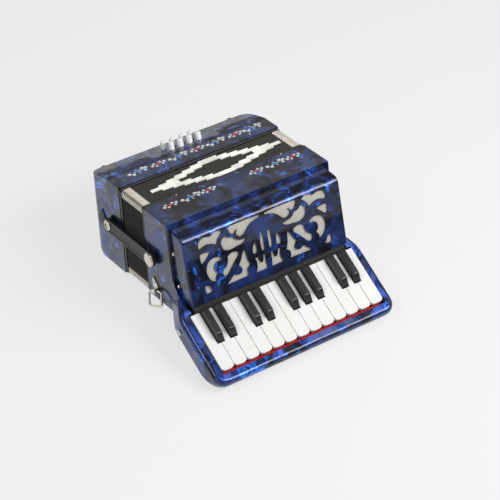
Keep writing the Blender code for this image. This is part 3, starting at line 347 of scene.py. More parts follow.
def copy_of(node, name):
    """A copy of a CAD node in the instrument's axes, its loose triangles merged into whole faces."""
    obj = bpy.data.objects.new(name, nodes[node].data.copy())
    bpy.context.scene.collection.objects.link(obj)
    obj.data.materials.clear()
    obj.data.transform(unlay)
    only(obj)
    open_mesh()
    bpy.ops.mesh.remove_doubles(threshold=DOUBLES)
    bpy.ops.mesh.dissolve_limited(angle_limit=FLAT)
    close_mesh()
    return obj


def join_pieces(pieces, name):
    """Joins finished objects into one, under a name."""
    bpy.ops.object.select_all(action="DESELECT")
    for piece in pieces:
        piece.select_set(True)
    bpy.context.view_layer.objects.active = pieces[0]
    if len(pieces) > 1:
        bpy.ops.object.join()
    pieces[0].name = name
    return pieces[0]


def lay_down(obj, angle):
    """Lays a shaped piece down with the instrument, and smooths edges flatter than an angle."""
    only(obj)
    obj.matrix_world = lay @ obj.matrix_world
    bpy.ops.object.transform_apply()
    bpy.ops.object.shade_smooth_by_angle(angle=radians(angle))


def settle(obj, material, body, slot, *stands_for, angle=40):
    """Gives a shaped piece its material, lays it down and lets it ride, for the nodes it stands for."""
    if material:
        obj.data.materials.clear()
        obj.data.materials.append(material)
    lay_down(obj, angle)
    modify(obj, "WEIGHTED_NORMAL", keep_sharp=True)
    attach(obj, body)
    if stands_for:
        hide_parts(*stands_for)


def dress(node, name, material, body, slot, rounding):
    """A piece made from a CAD node, its edges rounded."""
    obj = copy_of(node, name)
    round_edges(obj, rounding)
    settle(obj, material, body, slot, node)


seam = corners(own_points("keyboard_bed"))[1].y
shell = join_pieces([copy_of("treble_casing", "box"), copy_of("keyboard_bed", "bed")], "treble_shell")
open_mesh()
choose(shell, "FACE", lambda p, f: abs(p.y - seam) < 0.5 * MM and abs(f.normal.y) > 0.9)
bpy.ops.mesh.delete(type="FACE")
choose(shell, "EDGE", lambda p, e: e.is_boundary)
bpy.ops.mesh.bridge_edge_loops()
bpy.ops.mesh.select_all(action="SELECT")
bpy.ops.mesh.dissolve_limited(angle_limit=FLAT)
close_mesh()
round_edges(shell, CASING_ROUND)
settle(shell, celluloid, "treble", "celluloid", "treble_casing", "keyboard_bed")

# White keys: a wooden lever with a felt-faced pallet at its end, and a top of polished white celluloid
# with a rounded tip. All rock on one axle.
WHITE_COLOUR = (0.8, 0.8, 0.78)
WHITE_TONES = ((0.3, (0.79, 0.79, 0.77)), (0.7, (0.82, 0.82, 0.805)))
WOOD_LIGHT = (0.62, 0.43, 0.24)
WOOD_DARK = (0.36, 0.2, 0.09)
KEY_TOP_THICK = 5.6 * MM
KEY_ROUND = 0.5 * MM
ROOT_GAP = 0.3 * MM


def noise(tree, scale, detail, place=None):
    """The grey value of a noise texture."""
    return texture(tree, "Noise", {"Scale": scale, "Detail": detail}, place).outputs["Fac"]


def stretched(tree, scale):
    """Object coordinates, drawn out along the axes with a small scale."""
    place = add_node(tree, "ShaderNodeTexCoord", {}).outputs["Object"]
    return add_node(tree, "ShaderNodeMapping", {"Vector": place, "Scale": scale}).outputs[0]


def show(tree, source, tones=None, gloss=None, relief=None):
    """Lets a pattern set the colour by a ramp, the roughness by a range, and raise the surface by a bump."""
    if tones:
        feed(tree, Base_Color=ramp(tree, source, tones))
    if gloss:
        links = {"Value": source, "To Min": gloss[0], "To Max": gloss[1]}
        feed(tree, Roughness=add_node(tree, "ShaderNodeMapRange", links).outputs[0])
    if relief:
        links = {"Height": source, "Strength": relief[0], "Distance": relief[1]}
        feed(tree, Normal=add_node(tree, "ShaderNodeBump", links).outputs[0])


ivory, tree = new_material("white_celluloid", WHITE_COLOUR, 0.16, Coat_Weight=0.4, Coat_Roughness=0.05)
show(tree, noise(tree, 40.0, 2.0), tones=WHITE_TONES)

# Wood grain: long rings stretched along X.
grain, enter, leave = new_group(
    "wood_grain", {"Light": (*WOOD_LIGHT, 1), "Dark": (*WOOD_DARK, 1), "Scale": 220.0},
    {"Color": "NodeSocketColor", "Height": "NodeSocketFloat"})
fibre = texture(grain, "Noise", {"Scale": enter.outputs["Scale"], "Detail": 4.0, "Distortion": 0.8},
                stretched(grain, (0.08, 1.0, 1.0))).outputs["Fac"]
mixed = add_node(grain, "ShaderNodeMix",
                 {"Factor": fibre, 6: enter.outputs["Dark"], 7: enter.outputs["Light"]}, data_type="RGBA")
grain.links.new(mixed.outputs[2], leave.inputs["Color"])
grain.links.new(fibre, leave.inputs["Height"])


def wood_material(name, light, dark):
    """Bare wood in two tones."""
    made, tree = new_material(name, light, 0.6)
    look = add_node(tree, "ShaderNodeGroup", {"Light": (*light, 1), "Dark": (*dark, 1)}, node_tree=grain)
    show(tree, look.outputs["Height"], relief=(0.3, 0.0005))
    feed(tree, Base_Color=look.outputs["Color"])
    return made


def slice_all(place, way):
    """In edit mode, cuts the whole mesh along a plane."""
    bpy.ops.mesh.select_all(action="SELECT")
    bpy.ops.mesh.bisect(plane_co=place, plane_no=way)


def build_key(name, top_material, slot, rounding):
    """A key from its CAD node: its top in plastic, and its lever in wood, painted near black behind the top
    as painted shade.
    """
    key = copy_of(name, name + "_dressed")
    round_edges(key, rounding)
    open_mesh()
    slice_all((0, root_y, 0), (0, 1, 0))
    close_mesh()
    for material in (top_material, lever_wood, lever_painted_shade):
        key.data.materials.append(material)
    for face in key.data.polygons:
        if face.center.y > root_y:
            face.material_index = 2
        elif (face.center - key_plane_point).dot(key_normal) < -KEY_TOP_THICK:
            face.material_index = 1
    settle(key, None, name, slot, name)


lever_wood = wood_material("lever_wood", WOOD_LIGHT, WOOD_DARK)
# Painted shade: the lever wood behind the key tops is near black, standing for the shade in the slot under
# the grille.
lever_painted_shade = wood_material("lever_wood_painted_shade", (0.012, 0.011, 0.01), (0.005, 0.005, 0.004))
probe = copy_of("white_key_04", "key_probe")
widest = max(probe.data.polygons, key=lambda face: face.area)
key_normal = widest.normal.copy() if widest.normal.z > 0 else -widest.normal
key_plane_point = widest.center.copy()
key_back = Vector((0, key_normal.z, -key_normal.y))
root_y = max(probe.data.vertices[i].co.y for i in widest.vertices) + ROOT_GAP
bpy.data.objects.remove(probe)
for name in sorted(n for n in nodes if n.startswith("white_key")):
    build_key(name, ivory, "white_celluloid", KEY_ROUND)

# Black keys: raised tops of satin black plastic on the same kind of lever, drawn in towards the top.
# Their finish is faintly brushed along the key.
BLACK_COLOUR = (0.009, 0.009, 0.0085)
BLACK_ROUND = 0.8 * MM

ebony, tree = new_material("black_key_plastic", BLACK_COLOUR, 0.3)
show(tree, noise(tree, 1400.0, 2.0, stretched(tree, (1.0, 0.05, 0.05))), gloss=(0.22, 0.42))
for name in sorted(n for n in nodes if n.startswith("black_key")):
    build_key(name, ebony, "black_plastic", BLACK_ROUND)

# Key bed: a strip of red felt that stops the keys, the nickel axle whose slotted ends show at both
# sides, and a black felt strip that closes the slot between the grille and the key roots. A flap of it
# lies just over the levers, up to the roots of the keys.
RED_FELT = (0.4, 0.005, 0.008)
BLACK_FELT = (0.006, 0.006, 0.005)
NICKEL = (0.72, 0.68, 0.61)
STRIP_ROUND = 0.2 * MM
FLAP_FRONT = 0.9 * MM
FLAP_BACK = 8 * MM
FLAP_LOW = -1.7 * MM
FLAP_HIGH = -0.7 * MM


def shades(colour, low, high):
    """A darker and a lighter tone of a colour."""
    return [tuple(min(1, c * part) for c in colour) for part in (low, high)]


def felt_material(name, colour, pile):
    """Pressed wool felt: a soft pile with loose fibres."""
    made, tree = new_material(name, colour, 0.95, Sheen_Weight=0.5)
    low, high = shades(colour, 0.6, 1.5)
    show(tree, noise(tree, 1800.0, 3.0), tones=((0.3, low), (0.7, high)), relief=(0.6, pile))
    return made


def start_block(low, high):
    """Adds a block between two corners, and goes into edit mode."""
    low, high = Vector(low), Vector(high)
    block = add_primitive("block", "cube", high - low, size=1, location=(low + high) / 2)
    open_mesh()
    return block


def combine(obj, tool, operation):
    """Cuts a tool out of an object, or unites them, and removes the tool."""
    modify(obj, "BOOLEAN", object=tool, operation=operation, solver="EXACT")
    bpy.data.objects.remove(tool)


nickel, tree = new_material("nickel_plate", NICKEL, 0.2, 1.0)
show(tree, noise(tree, 160.0, 4.0), gloss=(0.12, 0.3))
red_felt = felt_material("red_wool_felt", RED_FELT, 0.0004)
dress("key_felt", "key_stop_felt", red_felt, "treble", "red_felt", 0.4 * MM)
dress("key_axle", "axle_rod", nickel, "treble", "nickel", 0.2 * MM)

strip = copy_of("dust_strip", "strip")
low, high = corners(own_points("dust_strip"))
root = key_plane_point + key_back * ((root_y - key_plane_point.y) / key_back.y)
root.x = 0
flap = start_block((low.x, FLAP_FRONT, FLAP_LOW), (high.x, FLAP_BACK, FLAP_HIGH))
close_mesh()
key_axes = Matrix(((1, 0, 0), key_back, key_normal)).transposed().to_4x4()
flap.matrix_world = Matrix.Translation(root) @ key_axes
combine(strip, flap, "UNION")
round_edges(strip, STRIP_ROUND)
strip.name = "root_strip"
black_felt = felt_material("black_wool_felt", BLACK_FELT, 0.0003)
settle(strip, black_felt, "treble", "black_felt", "dust_strip")

# Grille cover: a moulded shell of pearl celluloid screwed over the pallets, its scrolls and lyre sawn
# out. It leans back a little, with a rolled crest where it meets the front of the casing.
GRILLE_TOP_Z = 125 * MM
GRILLE_TOP_DROP = 2.6 * MM
GRILLE_BOTTOM = Vector((0, -44, 28)) * MM
GRILLE_BACK_Y = -0.6 * MM
GRILLE_LEAN = radians(10.5)
GRILLE_ROUND = 10 * MM
GRILLE_WALL = 2.0 * MM
GRILLE_HALF = 124.5 * MM
GRILLE_END_ROUND = 2.6 * MM
SAW_REACH = 12 * MM
# Cut-outs of the left half, as millimetres from the middle and up the face, with the numbers of the
# points that are sharp
CUT_OUTS = (
    ([(-101, 74), (-101, 81.5), (-96.5, 87), (-89, 88.5), (-81.5, 86.3), (-75.5, 89.8), (-68, 90),
      (-62, 86.5), (-68.5, 81), (-73.5, 71.8), (-82, 76), (-90, 77), (-97, 75)], (0, 4, 7, 9)),
    ([(-100.5, 66.5), (-94, 67.5), (-84, 66), (-90.5, 59.3), (-96, 55), (-100, 54.5), (-101, 60)], (2,)),
    ([(-67.8, 48.5), (-74, 54.8), (-83, 55.8), (-90.3, 52.3), (-94.3, 45), (-94.3, 35.5), (-90, 27),
      (-82, 21.5), (-82, 28), (-78, 33.3), (-82, 39), (-81.5, 45), (-78, 48.3), (-74, 48.8)], (0, 7, 9)),
    ([(-99.3, 22.2), (-89.6, 12.3), (-99, 11.2), (-101, 17.4)], (1,)),
    ([(-55, 87.5), (-49, 90.3), (-24, 90), (-3, 88.8), (-3.4, 86), (-11.5, 84.3), (-21.5, 80.3),
      (-27.7, 74.2), (-33.5, 70.2), (-39.5, 71.2), (-43, 75.3), (-41, 81.5), (-47.5, 77)], (0, 3, 4, 11)),
    ([(-60, 79.8), (-54.5, 74.7), (-48.3, 73.3), (-42.8, 67.3), (-36, 65.6), (-28.3, 64.5), (-33.5, 60.3),
      (-44.5, 58.4), (-55, 57.5), (-62.8, 60), (-66.8, 66.5), (-66.5, 74)], (0, 2, 5)),
    ([(-53, 53.3), (-44, 51), (-43.4, 47.5), (-50, 40.4), (-57.5, 32.2), (-68, 24.5), (-71, 27),
      (-70.8, 32.8), (-64.8, 37.2), (-61.8, 43.5), (-60.8, 50.5)], (1, 10)),
    ([(-33.5, 51.5), (-32.5, 42), (-31.3, 34.3), (-28.4, 26), (-33.7, 22.3), (-33.2, 12),
      (-69, 11.5), (-61.2, 17.4), (-55.4, 23.2), (-49.7, 19.3), (-43.3, 21.7), (-42.6, 26.7),
      (-46.4, 32), (-41.8, 39), (-37.8, 47)], (0, 3, 5, 6, 8, 12)),
    ([(-16.5, 56.5), (-15.4, 47), (-15.4, 38.2), (-22.6, 38.2), (-21.7, 48)], (0, 2, 3)),
    ([(-8, 64.5), (-4.7, 64.5), (-3.4, 58), (-3.6, 38.4), (-8.4, 38.2), (-9.2, 50)], (0, 1, 3, 4)),
    ([(-20.5, 32.4), (-15.5, 32.4), (-14, 26.3), (-11.3, 22.6), (-9, 25.5), (-8.2, 32.3), (-4.4, 32.3),
      (-4, 17.5), (-3.2, 11.3), (-22, 11.7), (-19.2, 18.7), (-19, 25.5)], (0, 1, 5, 6, 8, 9)),
)

up_face = Vector((0, sin(GRILLE_LEAN), cos(GRILLE_LEAN)))
out_of_face = Vector((0, -cos(GRILLE_LEAN), sin(GRILLE_LEAN)))
corner_z = GRILLE_TOP_Z - GRILLE_TOP_DROP
corner = GRILLE_BOTTOM + up_face * ((corner_z - GRILLE_BOTTOM.z) / up_face.z)
crest_turn = pi / 2 - GRILLE_LEAN - atan2(GRILLE_TOP_DROP, GRILLE_BACK_Y - corner.y)
crest_reach = GRILLE_ROUND * sin(crest_turn) / (1 + cos(crest_turn))


def close_outwards(doubles=0):
    """Leaves edit mode with every face turned outwards, and doubles merged where a distance is given."""
    bpy.ops.mesh.select_all(action="SELECT")
    if doubles:
        bpy.ops.mesh.remove_doubles(threshold=doubles)
    bpy.ops.mesh.normals_make_consistent(inside=False)
    close_mesh()


def cut_sheet(name, outlines, thickness, resolution, place, axes):
    """A sheet sawn to smooth outlines of (points, numbers of the sharp ones), and stood up at a place."""
    drawing = bpy.data.curves.new(name, "CURVE")
    drawing.dimensions = "2D"
    drawing.fill_mode = "BOTH"
    drawing.extrude = thickness / 2
    drawing.resolution_u = resolution
    for points, sharp in outlines:
        spline = drawing.splines.new("BEZIER")
        spline.bezier_points.add(len(points) - 1)
        spline.use_cyclic_u = True
        for number, (across, up) in enumerate(points):
            point = spline.bezier_points[number]
            point.co = (across * MM, up * MM, 0)
            point.handle_left_type = point.handle_right_type = "VECTOR" if number in sharp else "AUTO"
    obj = bpy.data.objects.new(name, drawing)
    bpy.context.scene.collection.objects.link(obj)
    only(obj)
    bpy.ops.object.convert(target="MESH")
    obj = bpy.context.object
    obj.matrix_world = Matrix.Translation(place) @ Matrix(axes).transposed().to_4x4()
    bpy.ops.object.transform_apply()
    open_mesh()
    close_outwards(0.02 * MM)
    return obj


low = (-GRILLE_HALF, GRILLE_BOTTOM.y, GRILLE_BOTTOM.z)
cover = start_block(low, (GRILLE_HALF, GRILLE_BACK_Y, GRILLE_TOP_Z))
cover.name = "grille_shell"
choose(cover, "EDGE", lambda p, e: p.y < GRILLE_BOTTOM.y + MM and p.z > GRILLE_TOP_Z - MM)
bpy.ops.transform.translate(value=(0, corner.y - GRILLE_BOTTOM.y, corner.z - GRILLE_TOP_Z))
choose(cover, "FACE", lambda p, f: abs(f.normal.x) < 0.5
       and (p.y > GRILLE_BACK_Y - MM or p.z < GRILLE_BOTTOM.z + MM))
bpy.ops.mesh.delete(type="FACE")
choose(cover, "EDGE", lambda p, e: (p - corner).length < MM)
bpy.ops.mesh.bevel(offset=crest_reach, segments=8)
choose(cover, "EDGE", lambda p, e: abs(p.x) > GRILLE_HALF - NEAR and not e.is_boundary)
bpy.ops.mesh.bevel(offset=GRILLE_END_ROUND, segments=4)
close_outwards()
modify(cover, "SOLIDIFY", thickness=GRILLE_WALL, offset=-1, use_even_offset=True)

outlines = [([(side * across, up) for across, up in outline], sharp)
            for outline, sharp in CUT_OUTS for side in (1, -1)]
across = Vector((1, 0, 0))
face_axes = (across, up_face, across.cross(up_face))
scrolls = cut_sheet("scroll_saw", outlines, SAW_REACH, 6, GRILLE_BOTTOM, face_axes)
combine(cover, scrolls, "DIFFERENCE")
settle(cover, celluloid, "treble", "celluloid", "grille_cover", angle=30)

# Bellows: fourteen folds of board, each covered in black bellows cloth, with white cloth strips on the
# front that draw a stepped diamond. Each fold is a piece of its own.
BELLOWS_START = 60.3 * MM
BELLOWS_END = 112.3 * MM
FOLD_COUNT = 14
FOLD_PITCH = (BELLOWS_END - BELLOWS_START) / FOLD_COUNT
FOLD_INSET = 1.6 * MM
FOLD_DEPTH = 13 * MM
FOLD_BOARD = 0.8 * MM
FOLD_CORNER = 4 * MM
BODY_HALF = 129 * MM
BODY_DEPTH = 134 * MM
DIAMOND_X = 6.1 * MM
DIAMOND_STEP = 14.8 * MM
DIAMOND_REACH = (7, 4)
STRIP_DEPTH = 5 * MM
BELLOWS_BLACK = (0.027, 0.027, 0.021)
BELLOWS_WHITE = (0.9, 0.9, 0.83)
THREADS = 900.0
# A fold's profile, as shares of its pitch and of its depth
FOLD_STEPS = ((0.22, -0.6), (0.14, -0.35), (0.08, -0.05), (0.12, 0), (0.08, 0.05), (0.14, 0.35), (0.22, 0.6))


def cloth_material(name, colour):
    """Fine woven cloth: warp and weft waves, a little uneven."""
    made, tree = new_material(name, colour, 0.8, Sheen_Weight=0.25)
    warp, weft = [texture(tree, "Wave", {"Scale": THREADS, "Distortion": 0.4}, bands_direction=way)
                  for way in ("X", "Z")]
    low, high = shades(colour, 0.82, 1.12)
    show(tree, noise(tree, 60.0, 4.0), tones=((0.35, low), (0.65, high)))
    show(tree, maths(tree, "ADD", warp.outputs["Fac"], weft.outputs["Fac"]), relief=(0.25, 0.0002))
    return made


def start_hoop(name, y, inset, steps):
    """Starts a hoop round the body: a rounded rectangle of edges at y, carried on along Y in steps of
    (share of the pitch, change of inset). It stays in edit mode."""
    size = (2 * (BODY_HALF - inset), BODY_DEPTH - 2 * inset, 1)
    hoop = add_primitive(name, "plane", size, size=1,
                         location=(0, y, BODY_DEPTH / 2), rotation=(pi / 2, 0, 0))
    open_mesh()
    bpy.ops.mesh.bevel(offset=FOLD_CORNER, segments=3, affect="VERTICES")
    bpy.ops.mesh.select_all(action="SELECT")
    bpy.ops.mesh.delete(type="ONLY_FACE")
    bpy.ops.mesh.select_all(action="SELECT")
    for share, change in steps:
        new = inset + change
        ratio_x = (BODY_HALF - new) / (BODY_HALF - inset)
        ratio_z = (BODY_DEPTH / 2 - new) / (BODY_DEPTH / 2 - inset)
        bpy.ops.mesh.extrude_edges_move(TRANSFORM_OT_translate={"value": (0, share * FOLD_PITCH, 0)})
        bpy.ops.transform.resize(value=(ratio_x, 1, ratio_z), center_override=(0, 0, BODY_DEPTH / 2))
        inset = new
    return hoop


def share_start(share):
    """How far along its blend a point must stand for it to move by the given share."""
    low, high = 0.0, 1.0
    for _ in range(50):
        middle = (low + high) / 2
        if middle * middle * (3 - 2 * middle) < share:
            low = middle
        else:
            high = middle
    return (low + high) / 2


def colour_changes(number):
    """How far from the diamond's middle a fold changes colour, outermost first."""
    ring = int(abs(number - (FOLD_COUNT - 1) / 2))
    return [DIAMOND_STEP * (reach - ring) for reach in DIAMOND_REACH if reach > ring]


black_cloth = cloth_material("bellows_cloth_black", BELLOWS_BLACK)
white_cloth = cloth_material("bellows_strip_white", BELLOWS_WHITE)
profile = [(share, depth * FOLD_DEPTH) for share, depth in FOLD_STEPS]
for number in range(FOLD_COUNT):
    y = BELLOWS_START + number * FOLD_PITCH
    fold = start_hoop(f"bellows_fold_{number + 1:02d}", y, FOLD_INSET + FOLD_DEPTH, profile)
    close_outwards()
    modify(fold, "SOLIDIFY", thickness=FOLD_BOARD, offset=-1, use_even_offset=True)
    open_mesh()
    reaches = colour_changes(number)
    for x in [DIAMOND_X + side * reach for reach in reaches for side in (-1, 1)]:
        choose(fold, "FACE", lambda p, f: p.z > BODY_DEPTH - 2 * FOLD_DEPTH)
        bpy.ops.mesh.bisect(plane_co=(x, 0, 0), plane_no=(1, 0, 0))
    close_mesh()
    fold.data.materials.append(black_cloth)
    fold.data.materials.append(white_cloth)
    for face in fold.data.polygons:
        off = abs(face.center.x - DIAMOND_X)
        in_front = face.center.z > BODY_DEPTH - FOLD_INSET - STRIP_DEPTH
        face.material_index = 1 if in_front and sum(off < reach for reach in reaches) == 1 else 0
    lay_down(fold, 60)
    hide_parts("bellows")
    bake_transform(fold)

# Corner clips: a bent nickel strip is pressed over each fold at each corner, so that the ridges don't
# wear through there.
CLIP_FRONT_LEG = 15 * MM
CLIP_SIDE_LEG = 12 * MM
CLIP_SHEET = 0.3 * MM
CLIP_INSET = FOLD_INSET + 3.4 * MM
CLIP_LEAD = 0.27 * FOLD_PITCH
CLIP_CORNER = 5 * MM
CLIP_PINCH = 0.45
CLIP_STEPS = ((0.05, -2.2 * MM), (0.1, -1.65 * MM), (0.24, 0), (0.1, 1.65 * MM), (0.05, 2.2 * MM))
CLIP_TONES = ((0.35, (0.85, 0.8, 0.72)), (0.65, (0.95, 0.9, 0.82)))

clip_nickel, tree = new_material("clip_nickel", (0.87, 0.82, 0.74), 0.36, 0.5)
show(tree, noise(tree, 120.0, 3.0), tones=CLIP_TONES)
front_end = BODY_HALF - CLIP_FRONT_LEG
side_end = BODY_DEPTH / 2 - CLIP_SIDE_LEG
for number in range(FOLD_COUNT):
    y = BELLOWS_START + (number + 0.5) * FOLD_PITCH
    clip = start_hoop(f"corner_clips_{number + 1:02d}", y - CLIP_LEAD, CLIP_INSET, CLIP_STEPS)
    for side in (-1, 1):
        slice_all((side * front_end, 0, 0), (1, 0, 0))
        slice_all((0, 0, BODY_DEPTH / 2 + side * side_end), (0, 0, 1))
    choose(clip, "FACE", lambda p, f: abs(p.x) < front_end or abs(p.z - BODY_DEPTH / 2) < side_end)
    bpy.ops.mesh.delete(type="FACE")
    choose(clip, "VERT", lambda p, v: abs(p.x) > BODY_HALF - CLIP_CORNER
           and abs(p.z - BODY_DEPTH / 2) > BODY_DEPTH / 2 - CLIP_CORNER)
    bpy.ops.transform.resize(value=(1, CLIP_PINCH, 1), center_override=(0, y, 0))
    close_outwards()
    modify(clip, "SOLIDIFY", thickness=CLIP_SHEET, offset=-1, use_even_offset=True)
    clip.data.materials.append(clip_nickel)
    lay_down(clip, 40)
    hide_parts("bellows")
    part = share_start((number + 0.5) / FOLD_COUNT)
    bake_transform(clip)

# Bellows frames and bass side: black lacquered wooden frames that the ends of the bellows are glued to,
# and the bass casing with its far plate, covered in the same pearl as the treble side.
FRAME_ROUND = 0.5 * MM

lacquer, tree = new_material("black_lacquer", (0.008, 0.008, 0.008), 0.28)
show(tree, noise(tree, 400.0, 2.0), gloss=(0.2, 0.36), relief=(0.1, 0.0003))
dress("treble_bellows_frame", "treble_side_frame", lacquer, "treble", "black_plastic", FRAME_ROUND)
dress("bass_bellows_frame", "bass_side_frame", lacquer, "bass", "black_plastic", FRAME_ROUND)
dress("bass_casing", "bass_shell", celluloid, "bass", "celluloid", CASING_ROUND)
dress("bass_end_plate", "bass_far_plate", celluloid, "bass", "celluloid", CASING_ROUND)

# Grille cloth: fine ribbed speaker cloth, stretched over a card behind the scrolls and round the inside
# of the crest.
CLOTH_SINK = GRILLE_WALL + 0.5 * MM
CLOTH_START = 4.6 * MM
CLOTH_HALF = 121 * MM
CLOTH_THICK = 0.3 * MM
CLOTH_WRAP = 0.9
CLOTH_COLOUR = (0.5, 0.49, 0.42)
CLOTH_TONES = ((0.0, (0.3, 0.29, 0.25)), (0.6, (0.66, 0.64, 0.56)))
CLOTH_RIB = 1.1 * MM

cloth_paint, tree = new_material("grille_cloth_weave", CLOTH_COLOUR, 0.75, Sheen_Weight=0.3)
ribs = texture(tree, "Wave", {"Scale": 2 * pi / CLOTH_RIB / 20, "Distortion": 0.6, "Detail Scale": 2.0},
               bands_direction="Z")
threads = texture(tree, "Wave", {"Scale": 140.0, "Distortion": 1.0}, bands_direction="X")
weave = maths(tree, "MULTIPLY", ribs.outputs["Fac"], threads.outputs["Fac"])
show(tree, weave, tones=CLOTH_TONES, relief=(0.5, 0.0004))

crest_middle = corner - out_of_face * GRILLE_ROUND - up_face * crest_reach
face_length = (corner - GRILLE_BOTTOM).length - crest_reach - CLOTH_START
cloth_turn = crest_turn * CLOTH_WRAP
middle = GRILLE_BOTTOM + up_face * (CLOTH_START + face_length / 2) - out_of_face * CLOTH_SINK
cloth = add_primitive("grille_cloth_sheet", "plane", (2 * CLOTH_HALF, face_length, 1), size=1,
                      location=middle, rotation=(pi / 2 - GRILLE_LEAN, 0, 0))
open_mesh()
top = middle + up_face * face_length / 2
choose(cloth, "EDGE", lambda p, e: (p - top).length < MM)
bpy.ops.mesh.spin(steps=6, angle=-cloth_turn, center=crest_middle, axis=(1, 0, 0))
close_outwards(DOUBLES)
modify(cloth, "SOLIDIFY", thickness=CLOTH_THICK, offset=0)
settle(cloth, cloth_paint, "treble", "grille_cloth", "grille_cloth")

# Chord buttons: turned from white semi-clear plastic, with a rounded top edge, each on its own rod.
# They stand in two rows of four on the slanted strip of the bass side.
BUTTON_ROUND = 1.6 * MM
BUTTON_TONES = ((0.3, (0.88, 0.88, 0.89)), (0.7, (0.95, 0.95, 0.95)))

button_plastic, tree = new_material(
    "milky_plastic", (0.88, 0.89, 0.9), 0.18,
    Subsurface_Weight=0.25, Subsurface_Radius=(0.002, 0.002, 0.002), Coat_Weight=0.5)
show(tree, noise(tree, 260.0, 2.0), tones=BUTTON_TONES)


def axis_span(node, axis):
    """Where a turned CAD node's axis runs, its lowest and highest places along it, and its radius."""
    points = own_points(node)
    heights = [p.dot(axis) for p in points]
    flat = [p - axis * p.dot(axis) for p in points]
    low, high = corners(flat)
    middle = (low + high) / 2
    return middle, min(heights), max(heights), max((p - middle).length for p in flat)


def round_rim(obj, axis, height, rounding, segments):
    """Rounds the rim of a turned piece at a height along its axis."""
    choose(obj, "EDGE", lambda p, e: all(abs(v.co.dot(axis) - height) < DOUBLES for v in e.verts))
    bpy.ops.mesh.bevel(offset=rounding, segments=segments)


def start_turned(name, foot, axis, radius, length, rounding=0, segments=4, sides=48):
    """Adds a cylinder that stands on its foot along an axis, rounds its top and stays in edit mode."""
    foot, axis = Vector(foot), Vector(axis)
    obj = add_primitive(name, "cylinder", vertices=sides, radius=radius, depth=length,
                        location=foot + axis * length / 2,
                        rotation=axis.to_track_quat("Z", "Y").to_euler())
    open_mesh()
    if rounding:
        round_rim(obj, axis, foot.dot(axis) + length, rounding, segments)
    return obj


button_axis = -(unlay.to_3x3() @ Vector(joints["bass_button_1_push"]["axis"])).normalized()
if button_axis.z < 0:
    button_axis = -button_axis
for number in range(1, 9):
    name = f"bass_button_{number}"
    middle, low, high, radius = axis_span(name, button_axis)
    button = start_turned(name + "_turned", middle + button_axis * low, button_axis, radius, high - low,
                          BUTTON_ROUND, 5)
    close_mesh()
    settle(button, button_plastic, name, "pearl_plastic", name)

# Air button on the far side: the same plastic, a wide flat head on a thin stem. It lets the bellows
# close without a sound.
AIR_HEAD_THICK = 2 * MM
AIR_HEAD_ROUND = 0.8 * MM
AIR_STEM_RADIUS = 3 * MM
FAR_WAY = Vector((0, 1, 0))


def choose_top(obj, axis, height):
    """Selects the top face of a turned piece."""
    choose(obj, "FACE", lambda p, f: f.normal.dot(axis) > 0.95 and abs(p.dot(axis) - height) < NEAR)


def step_face(axis, *steps):
    """Insets the selected face in steps of (width, rise along an axis), in millimetres."""
    for width, rise in steps:
        bpy.ops.mesh.inset(thickness=width * MM)
        if rise:
            bpy.ops.transform.translate(value=Vector(axis) * rise * MM)


middle, low, high, radius = axis_span("air_button", FAR_WAY)
head_foot = middle + FAR_WAY * (high - AIR_HEAD_THICK)
air = start_turned("air_button_turned", head_foot, FAR_WAY, radius, AIR_HEAD_THICK, AIR_HEAD_ROUND)
choose(air, "FACE", lambda p, f: f.normal.y < -0.9)
bpy.ops.mesh.inset(thickness=radius - AIR_STEM_RADIUS)
bpy.ops.mesh.extrude_region_move(TRANSFORM_OT_translate={"value": (0, low - high + AIR_HEAD_THICK, 0)})
choose_top(air, FAR_WAY, high)
step_face(FAR_WAY, (1.4, -0.4))
close_mesh()
settle(air, button_plastic, "air_button", "pearl_plastic", "air_button")

# Feet: four moulded rubber bumpers on the far side, each held by a screw sunk in its middle. The
# accordion stands on them between pieces.
FOOT_ROUND = 2.4 * MM
FOOT_WELL = 2.2 * MM
FOOT_RIM = 0.9 * MM
FOOT_TAPER = 0.8
RUBBER_TONES = ((0.35, (0.009, 0.009, 0.009)), (0.75, (0.03, 0.03, 0.029)))

rubber, tree = new_material("black_rubber", (0.012, 0.012, 0.012), 0.6)
show(tree, noise(tree, 300.0, 5.0), tones=RUBBER_TONES, relief=(0.3, 0.0003))
for number in range(1, 5):
    name = f"rubber_foot_{number}"
    middle, low, high, radius = axis_span(name, FAR_WAY)
    foot = start_turned(name + "_moulded", middle + FAR_WAY * low, FAR_WAY, radius, high - low)
    choose(foot, "VERT", lambda p, v: p.y > high - NEAR)
    bpy.ops.transform.resize(value=(FOOT_TAPER, 1, FOOT_TAPER), center_override=(middle.x, high, middle.z))
    round_rim(foot, FAR_WAY, high, FOOT_ROUND, 5)
    choose_top(foot, FAR_WAY, high)
    bpy.ops.mesh.inset(thickness=FOOT_RIM)
    bpy.ops.mesh.extrude_region_move(TRANSFORM_OT_translate={"value": (0, -FOOT_WELL, 0)})
    close_mesh()
    settle(foot, rubber, "bass", "rubber", name)

# Bellows straps: a band of black leather over each end of the closed bellows, its edges turned in and
# sewn. It is screwed to the bass side over a thick leather pad, and snaps shut on the treble side.
STRAP_Z = 66 * MM
STRAP_WIDTH = 21 * MM
STRAP_THICK = 3 * MM
STRAP_STANDOFF = 4 * MM
STRAP_END_ROUND = 0.98 * STRAP_WIDTH / 2
STRAP_SNAP_Y = 38 * MM
STRAP_SCREW_Y = 144 * MM
PAD_RADIUS = 8 * MM
PAD_GAP = 0.3 * MM
PAD_SWELL = 1.05
BAND_ROUND = 0.25 * MM
SNAP_RADIUS = 10 * MM
SNAP_THICK = 1.95 * MM
SNAP_RISE = 0.3 * MM
SNAP_ROUND = 1.5 * MM
DISC_RADIUS = 7.5 * MM
DISC_THICK = 1.7 * MM
DISC_SINK = 0.5 * MM
DISC_ROUND = 0.8 * MM
